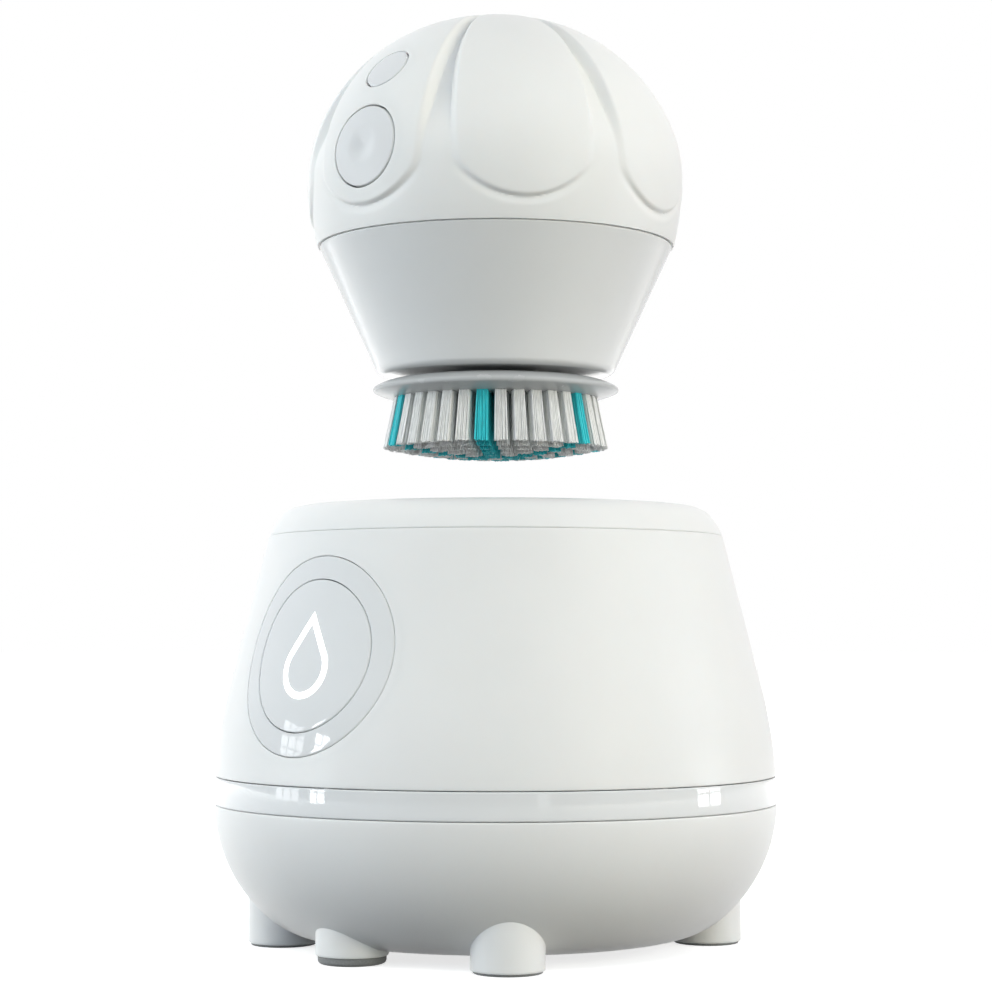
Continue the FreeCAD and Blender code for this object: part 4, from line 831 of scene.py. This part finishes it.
def make_dome():
    """The petalled dome as one dense skin with openings for the two buttons."""
    seam_turn = -math.asin((BALL_HEIGHT - SEAM - DOME_CLEAR) / PETAL_BELT_ARC)
    columns = PETALS * 104
    turns = []
    turn = seam_turn
    while turn < math.radians(89.4):
        turns.append(turn)
        turn += 0.3 / (PETAL_BELT_ARC if turn < 0 else MID_ARC)
    vertices = []
    rows = []
    sector = math.tau / PETALS
    for turn in turns:
        radius, height = dome_point(turn)
        rows.append([])
        for number in range(columns):
            azimuth = math.tau * number / columns
            side = abs((azimuth + sector / 2) % sector - sector / 2)
            depth = petal_depth(side, turn)
            out = radius - depth * math.cos(turn)
            direction = azimuth - math.pi / 2
            rows[-1].append(len(vertices))
            vertices.append(Vector((out * math.cos(direction), out * math.sin(direction),
                                    height - depth * math.sin(turn))))
    belt = vertices[rows[0][columns // (2 * PETALS)]].xy.length
    foot = SEAM + DOME_CLEAR
    under = [(belt - 0.9, foot), (belt - 2.6, foot), (belt - 2.6, SEAM + 3)]
    inner = [(dome_point(turn)[0] - DOME_WALL * math.cos(turn),
              dome_point(turn)[1] - DOME_WALL * math.sin(turn))
             for turn in (math.radians(angle) for angle in range(-6, 89, 6))]
    added = []
    for radius, height in under + inner:
        added.append(list(range(len(vertices), len(vertices) + columns)))
        for number in range(columns):
            direction = math.tau * number / columns - math.pi / 2
            vertices.append(Vector((radius * math.cos(direction), radius * math.sin(direction),
                                    height)))
    apex_outside = len(vertices)
    top = dome_arcs()[2]
    vertices.append(Vector((0, 0, top[0][1] + top[1])))
    apex_inside = len(vertices)
    vertices.append(Vector((0, 0, top[0][1] + top[1] - DOME_WALL)))
    loop = [[apex_inside] * columns] + added[::-1] + rows + [[apex_outside] * columns]
    dome = mesh_object("dome_skin", vertices, row_faces(loop))
    for tilt, radius in ((POWER_TILT, POWER_RADIUS), (MODE_TILT, MODE_RADIUS)):
        centre, normal = button_place(tilt)
        hole = radius + BUTTON_GAP
        edge = hole + COLLAR_WIDE
        cut_with(dome, *rod(centre, normal, edge, -9, 5, 160))
        rings = edge_rings(hole, -1, 2.6, COLLAR_ROUND)
        rings += flat_rings(hole + COLLAR_ROUND, edge, 0.3) + [(edge, 0.0)]
        name = "power_collar" if tilt == POWER_TILT else "mode_collar"
        collar = mesh_object(name, *patch(centre, normal, rings, dome_radius, 160))
        finished(collar, "handle", "handle_white")
    finished(dome, "handle", "handle_white", "handle_dome")


def button_place(tilt):
    """Centre and outward normal of a button on the front petal."""
    radius, height = dome_point(tilt)
    return Vector((0, -radius, height)), Vector((0, -math.cos(tilt), math.sin(tilt)))


def make_button(name, tilt, radius, dimple):
    """A cap whose crown follows the petal, with a thumb dimple on the larger one."""
    centre, normal = button_place(tilt)
    rings = [(0.0, DIMPLE_DEEP * dimple)]
    count = math.ceil((radius - SEAM_ROUND) / 0.25)
    for number in range(1, count):
        ring_radius = (radius - SEAM_ROUND) * number / count
        share = 1 - smooth_step(ring_radius / DIMPLE_RADIUS)
        rings.append((ring_radius, DIMPLE_DEEP * dimple * share))
    rings += edge_rings(radius, 1, 3.0)
    rings += [(0.0, 3.0)]
    cap = mesh_object(name + "_cap", *patch(centre, normal, rings, dome_radius, 160))
    finished(cap, name, "button_white", name)


# Cone, brush plate and bristles

def make_cone():
    """The cone under the seam, rounded into its flat base round the spindle."""
    slope = (CONE_TOP - CONE_BOTTOM) / CONE_TALL
    lean = math.atan(slope)
    centre = (CONE_BOTTOM - CONE_ROUND * (1 / math.cos(lean) - slope), CONE_BASE + CONE_ROUND)
    high = SEAM - DOME_CLEAR
    side = straight((centre[0] + CONE_ROUND * math.cos(lean), centre[1] - CONE_ROUND
                     * math.sin(lean)), (CONE_TOP - DOME_CLEAR * slope, high), 1.0)
    outer = joined(
        straight((7.7, CONE_BASE), (centre[0], CONE_BASE), 2.0),
        arc_line(centre, CONE_ROUND, -math.pi / 2, -lean, 0.25), side)
    line = flipped(soft_end(flipped(outer), SEAM_ROUND, CONE_WALL))
    hub = [Vector((5.7, CONE_BASE + 5.9)), Vector((7.7, CONE_BASE + 5.9))]
    cone = mesh_object("cone_skin", *lathe(hub + line, 360))
    finished(cone, "handle", "cone_white", "handle_cone")


def make_plate():
    """The lens-shaped plate that carries the bristles, with its hub."""
    middle = HEAD_LOW + 1.79
    edge_round = 0.55
    upper = [(PLATE_EDGE - 6, HEAD_TOP), (PLATE_EDGE - 2.4, HEAD_TOP - 0.22)]
    lower = [(PLATE_EDGE - 2.8, HEAD_LOW + 0.25), (PLATE_EDGE - 6, HEAD_LOW)]
    nose = arc_line((PLATE_EDGE - edge_round, middle), edge_round, math.radians(-62),
                    math.radians(62), 0.08)
    low_curve = bend(lower[1], lower[0], nose[0], 14)
    high_curve = bend(nose[-1], upper[1], upper[0], 14)
    hub_top = CONE_BASE + 5.4
    line = joined([(0, HEAD_LOW)], straight((4, HEAD_LOW), lower[1], 4), low_curve, nose,
                  high_curve, straight(upper[0], (7.4, HEAD_TOP), 3), [(7.0, HEAD_TOP + 0.4)],
                  [(7.0, hub_top - 0.3), (6.7, hub_top), (5.4, hub_top), (5.4, hub_top - 3)])
    plate = mesh_object("plate_skin", *lathe(line, 288), smooth_angle=50)
    finished(plate, "brush_head", "plate_grey", "brush_plate")


def bend(start, control, end, count):
    """A curve from start to end, drawn towards a control point."""
    start, control, end = Vector(start), Vector(control), Vector(end)
    points = []
    for number in range(count + 1):
        share = number / count
        points.append(start.lerp(control, share).lerp(control.lerp(end, share), share))
    return points


ROOT_PITCH = 2.95
TIP_PITCH = 3.25
TUFT_ROOT = 2.0
TUFT_TIP = 2.3
TUFT_LONG = 9.0
CROWN_RISE = 2.0
TUFT_TURN = math.radians(-24.3)
TUFT_SIDE = 7
FILAMENT = 0.31


def tuft_filaments(ring, step, chance, vertices, faces):
    """The filaments of one tuft, as fine tubes that lean and spread together."""
    turn = TUFT_TURN - math.pi / 2
    if ring:
        turn += math.tau / 6 * step / ring
    share = ring / TUFT_RINGS
    tip_height = HEAD_LOW - TUFT_LONG - CROWN_RISE * (1 - share * share)
    rotation = Matrix.Rotation(turn, 3, "Z")
    last = TUFT_SIDE - 1
    for row in range(TUFT_SIDE):
        for column in range(TUFT_SIDE):
            x = row / last - 0.5
            y = column / last - 0.5
            root_width = TUFT_ROOT - FILAMENT
            tip_width = TUFT_TIP - FILAMENT
            root = Vector((ROOT_PITCH * ring + x * root_width, y * root_width, HEAD_LOW + 0.6))
            stray = Vector((chance.uniform(-1, 1), chance.uniform(-1, 1), 0)) * 0.07
            tip = Vector((TIP_PITCH * ring + x * tip_width, y * tip_width,
                          tip_height + chance.uniform(0.0, 0.28))) + stray
            middle = root.lerp(tip, 0.5) + Vector((-0.06 * share, 0, 0)) + stray * 0.3
            first = len(vertices)
            for centre, size in ((root, 0.9), (middle, 1.0), (tip, 1.0)):
                for corner in range(5):
                    angle = math.tau * (corner + 0.5 * (row + column)) / 5
                    offset = Vector((math.cos(angle), math.sin(angle), 0)) * FILAMENT / 2 * size
                    vertices.append(rotation @ (centre + offset))
            for level in range(2):
                for corner in range(5):
                    low = first + level * 5
                    following = (corner + 1) % 5
                    faces.append([low + following, low + corner, low + 5 + corner,
                                  low + 5 + following])
            faces.append([first + 14 - corner for corner in range(5)])


def make_bristles():
    """Both colours of tufts, in rings round the middle one; every ring has six teal ones."""
    chance = random.Random(7)
    piles = {"teal": ([], []), "white": ([], [])}
    tuft_filaments(0, 0, chance, *piles["white"])
    for ring in range(1, TUFT_RINGS + 1):
        for step in range(6 * ring):
            colour = "teal" if step % ring == 0 else "white"
            tuft_filaments(ring, step, chance, *piles[colour])
    for colour, (vertices, faces) in piles.items():
        pile = mesh_object(colour + "_filaments", vertices, faces, 60)
        finished(pile, "brush_head", "bristle_" + colour, "bristles_" + colour)


# Studio

WHITE = (1, 1, 1, 1)
# The camera, in metres and degrees: its turn is from -Y towards +X
CAMERA_PLACE = (0.3051, -0.3271, 0.0561)
CAMERA_TURN = 43.0
CAMERA_RISE = 3.2476
CAMERA_LENS = 88.5


def emission_card(name, centre, away_from, width, height, colour, strength, panes):
    """A window that faces the object, with bars between its panes; only gloss shows it."""
    made = bpy.data.materials.new(name)
    tree = emptied(made)
    output = tree.nodes.new("ShaderNodeOutputMaterial")
    light = tree.nodes.new("ShaderNodeEmission")
    put(light, {"Color": (*colour, 1), "Strength": strength})
    tree.links.new(light.outputs["Emission"], output.inputs["Surface"])
    across, up = panes
    vertices = []
    faces = []
    bar = 0.14
    for column in range(across):
        for row in range(up):
            x0 = (column + bar / 2) / across - 0.5
            x1 = (column + 1 - bar / 2) / across - 0.5
            y0 = (row + bar / 2) / up - 0.5
            y1 = (row + 1 - bar / 2) / up - 0.5
            first = len(vertices)
            for x, y in ((x0, y0), (x1, y0), (x1, y1), (x0, y1)):
                vertices.append(Vector((x * width, y * height, 0)))
            faces.append([first, first + 1, first + 2, first + 3])
    card = mesh_object(name, vertices, faces)
    card.data.materials.append(made)
    card.matrix_world = Matrix.Translation(centre) @ away_from.to_track_quat(
        "-Z", "Y").to_matrix().to_4x4()
    card.visible_camera = False
    card.visible_diffuse = False
    card.visible_shadow = False


def area_light(name, place, target, size, power, colour):
    """A soft lamp that lights the object but isn't seen, nor mirrored by it."""
    data = bpy.data.lights.new(name, "AREA")
    data.shape = "RECTANGLE"
    data.size, data.size_y = size
    data.energy = power
    data.color = colour
    light = bpy.data.objects.new(name, data)
    bpy.context.scene.collection.objects.link(light)
    light.location = place
    light.rotation_euler = (place - target).to_track_quat("Z", "Y").to_euler()
    light.visible_camera = False
    light.visible_glossy = False


def seen_rays(tree):
    """One where a camera, glossy or transmission ray looks, else zero."""
    path = tree.nodes.new("ShaderNodeLightPath")
    first = tree.nodes.new("ShaderNodeMath")
    first.operation = "MAXIMUM"
    second = tree.nodes.new("ShaderNodeMath")
    second.operation = "MAXIMUM"
    tree.links.new(path.outputs["Is Camera Ray"], first.inputs[0])
    tree.links.new(path.outputs["Is Glossy Ray"], first.inputs[1])
    tree.links.new(first.outputs["Value"], second.inputs[0])
    tree.links.new(path.outputs["Is Transmission Ray"], second.inputs[1])
    return second.outputs["Value"]


def make_world():
    """White where it is looked at or mirrored, and only a faint fill on the object."""
    world = bpy.data.worlds.new("studio")
    bpy.context.scene.world = world
    tree = emptied(world)
    output = tree.nodes.new("ShaderNodeOutputWorld")
    seen = tree.nodes.new("ShaderNodeBackground")
    put(seen, {"Color": WHITE, "Strength": 1.0})
    fill = tree.nodes.new("ShaderNodeBackground")
    put(fill, {"Color": (0.97, 0.985, 1.0, 1), "Strength": 0.04})
    mix = tree.nodes.new("ShaderNodeMixShader")
    tree.links.new(seen_rays(tree), mix.inputs["Fac"])
    tree.links.new(fill.outputs["Background"], mix.inputs[1])
    tree.links.new(seen.outputs["Background"], mix.inputs[2])
    tree.links.new(mix.outputs["Shader"], output.inputs["Surface"])


FLOOR_HALF = 6000
FLOOR_DROP = 0.05


def make_floor():
    """A pale floor that lightens to white with distance; it sends little light up."""
    made = bpy.data.materials.new("floor_paper")
    tree = emptied(made)
    output = tree.nodes.new("ShaderNodeOutputMaterial")
    paper = tree.nodes.new("ShaderNodeBsdfDiffuse")
    put(paper, {"Color": (0.75, 0.75, 0.75, 1)})
    lift = tree.nodes.new("ShaderNodeEmission")
    put(lift, {"Color": WHITE})
    place = tree.nodes.new("ShaderNodeTexCoord")
    reach = tree.nodes.new("ShaderNodeVectorMath")
    reach.operation = "LENGTH"
    ranged = tree.nodes.new("ShaderNodeMapRange")
    put(ranged, {"From Min": 0.25, "From Max": 0.8, "To Min": 0.72, "To Max": 1.0})
    tree.links.new(place.outputs["Object"], reach.inputs[0])
    tree.links.new(reach.outputs["Value"], ranged.inputs["Value"])
    tree.links.new(ranged.outputs["Result"], lift.inputs["Strength"])
    bright = tree.nodes.new("ShaderNodeAddShader")
    dull = tree.nodes.new("ShaderNodeBsdfDiffuse")
    put(dull, {"Color": (0.04, 0.04, 0.04, 1)})
    mix = tree.nodes.new("ShaderNodeMixShader")
    tree.links.new(paper.outputs["BSDF"], bright.inputs[0])
    tree.links.new(lift.outputs["Emission"], bright.inputs[1])
    tree.links.new(seen_rays(tree), mix.inputs["Fac"])
    tree.links.new(dull.outputs["BSDF"], mix.inputs[1])
    tree.links.new(bright.outputs["Shader"], mix.inputs[2])
    tree.links.new(mix.outputs["Shader"], output.inputs["Surface"])
    corners = [Vector((x * FLOOR_HALF, y * FLOOR_HALF, -FLOOR_DROP))
               for x, y in ((-1, -1), (1, -1), (1, 1), (-1, 1))]
    floor = mesh_object("floor", corners, [[0, 1, 2, 3]])
    floor.data.materials.append(made)


# Softboxes round the object: turn from the camera to its right, elevation, power in watts
# and colour; all of them aim at the middle of the object. Their sizes are in metres
SOFTBOXES = {
    "front": (0, 12, 2.5, (0.79, 1.0, 0.96)),
    "front_high": (0, 45, 3.7, (0.95, 1.0, 1.0)),
    "right_front": (45, 12, 10.0, (1.0, 0.94, 0.79)),
    "right_high": (60, 45, 2.8, (0.93, 0.95, 1.0)),
    "right": (90, 12, 6.8, (0.80, 0.86, 1.0)),
    "right_back": (135, 12, 1.5, (1.0, 0.96, 0.70)),
    "back": (180, 12, 8.2, (1.0, 0.98, 0.93)),
    "back_high": (180, 45, 3.8, (0.93, 0.94, 1.0)),
    "left_back": (225, 12, 7.1, (0.95, 0.96, 1.0)),
    "left": (270, 12, 13.8, (0.95, 1.0, 0.96)),
    "left_front": (315, 12, 3.6, (0.68, 0.74, 1.0)),
    "left_high": (300, 45, 0.6, (1.0, 0.90, 0.92)),
}
SOFTBOX_REACH = 1.4
SOFTBOX_AIM = 0.08
SOFTBOX_SIZE = (0.9, 0.55)


def away(turn, elevation):
    """The direction at a turn from -Y towards +X and an elevation, both in degrees."""
    turn, elevation = math.radians(turn), math.radians(elevation)
    return Vector((math.cos(elevation) * math.sin(turn), -math.cos(elevation) * math.cos(turn),
                   math.sin(elevation)))


def make_lights():
    """The softboxes, a reach away from the object's middle."""
    middle = Vector((0, 0, SOFTBOX_AIM))
    for name, (turn, elevation, power, colour) in SOFTBOXES.items():
        place = middle + away(CAMERA_TURN + turn, elevation) * SOFTBOX_REACH
        area_light(name + "_light", place, middle, SOFTBOX_SIZE, power, colour)


def make_camera():
    """The camera at the photograph's angle, looking slightly up."""
    data = bpy.data.cameras.new("camera")
    data.lens = CAMERA_LENS
    data.sensor_width = 36.0
    data.clip_start = 0.01
    data.clip_end = 50.0
    camera = bpy.data.objects.new("camera", data)
    bpy.context.scene.collection.objects.link(camera)
    camera.location = CAMERA_PLACE
    camera.rotation_euler = (math.radians(90 + CAMERA_RISE), 0, math.radians(CAMERA_TURN))
    bpy.context.scene.camera = camera


# Windows of the room, as the glossy pieces see them: the point of the object that mirrors
# the window, turns and elevations of its edges in degrees, distance, brightness and panes
WINDOWS = {
    "window_left": ((0, -50.5, 30), (-55.5, -41.5), (-2.1, 13.0), 750, 4.6, (3, 6)),
    "window_front": ((4, -50.5, 30), (-36.0, -28.0), (-2.1, 13.0), 750, 11.0, (2, 6)),
    "window_door": ((40, -31.4, 29.5), (59.0, 64.5), (-2.1, 9.0), 750, 2.6, (1, 4)),
    "window_right": ((50.9, -1.8, 28.5), (130.0, 145.0), (-3.2, 5.0), 500, 8.0, (2, 3)),
}


def make_windows():
    """Windows whose reflections show in the glossy band, ring and lens."""
    for name, (point, turns, heights, reach, strength, panes) in WINDOWS.items():
        towards = away(sum(turns) / 2, sum(heights) / 2)
        width, height = (2 * reach * math.tan(math.radians(high - low) / 2)
                         for low, high in (turns, heights))
        centre = Vector(point) * MM + towards * reach * MM
        emission_card(name, centre, towards, width, height, (0.96, 0.98, 1.0), strength, panes)


paint_frame()
make_shell()
make_panel()
make_drop()
make_rim()
make_band()
make_bowl()
make_feet()
make_dome()
make_button("power_button", POWER_TILT, POWER_RADIUS, 1)
make_button("mode_button", MODE_TILT, MODE_RADIUS, 0)
make_cone()
make_plate()
make_bristles()
make_world()
make_floor()
make_lights()
make_windows()
make_camera()

bpy.context.scene.view_settings.view_transform = "Standard"
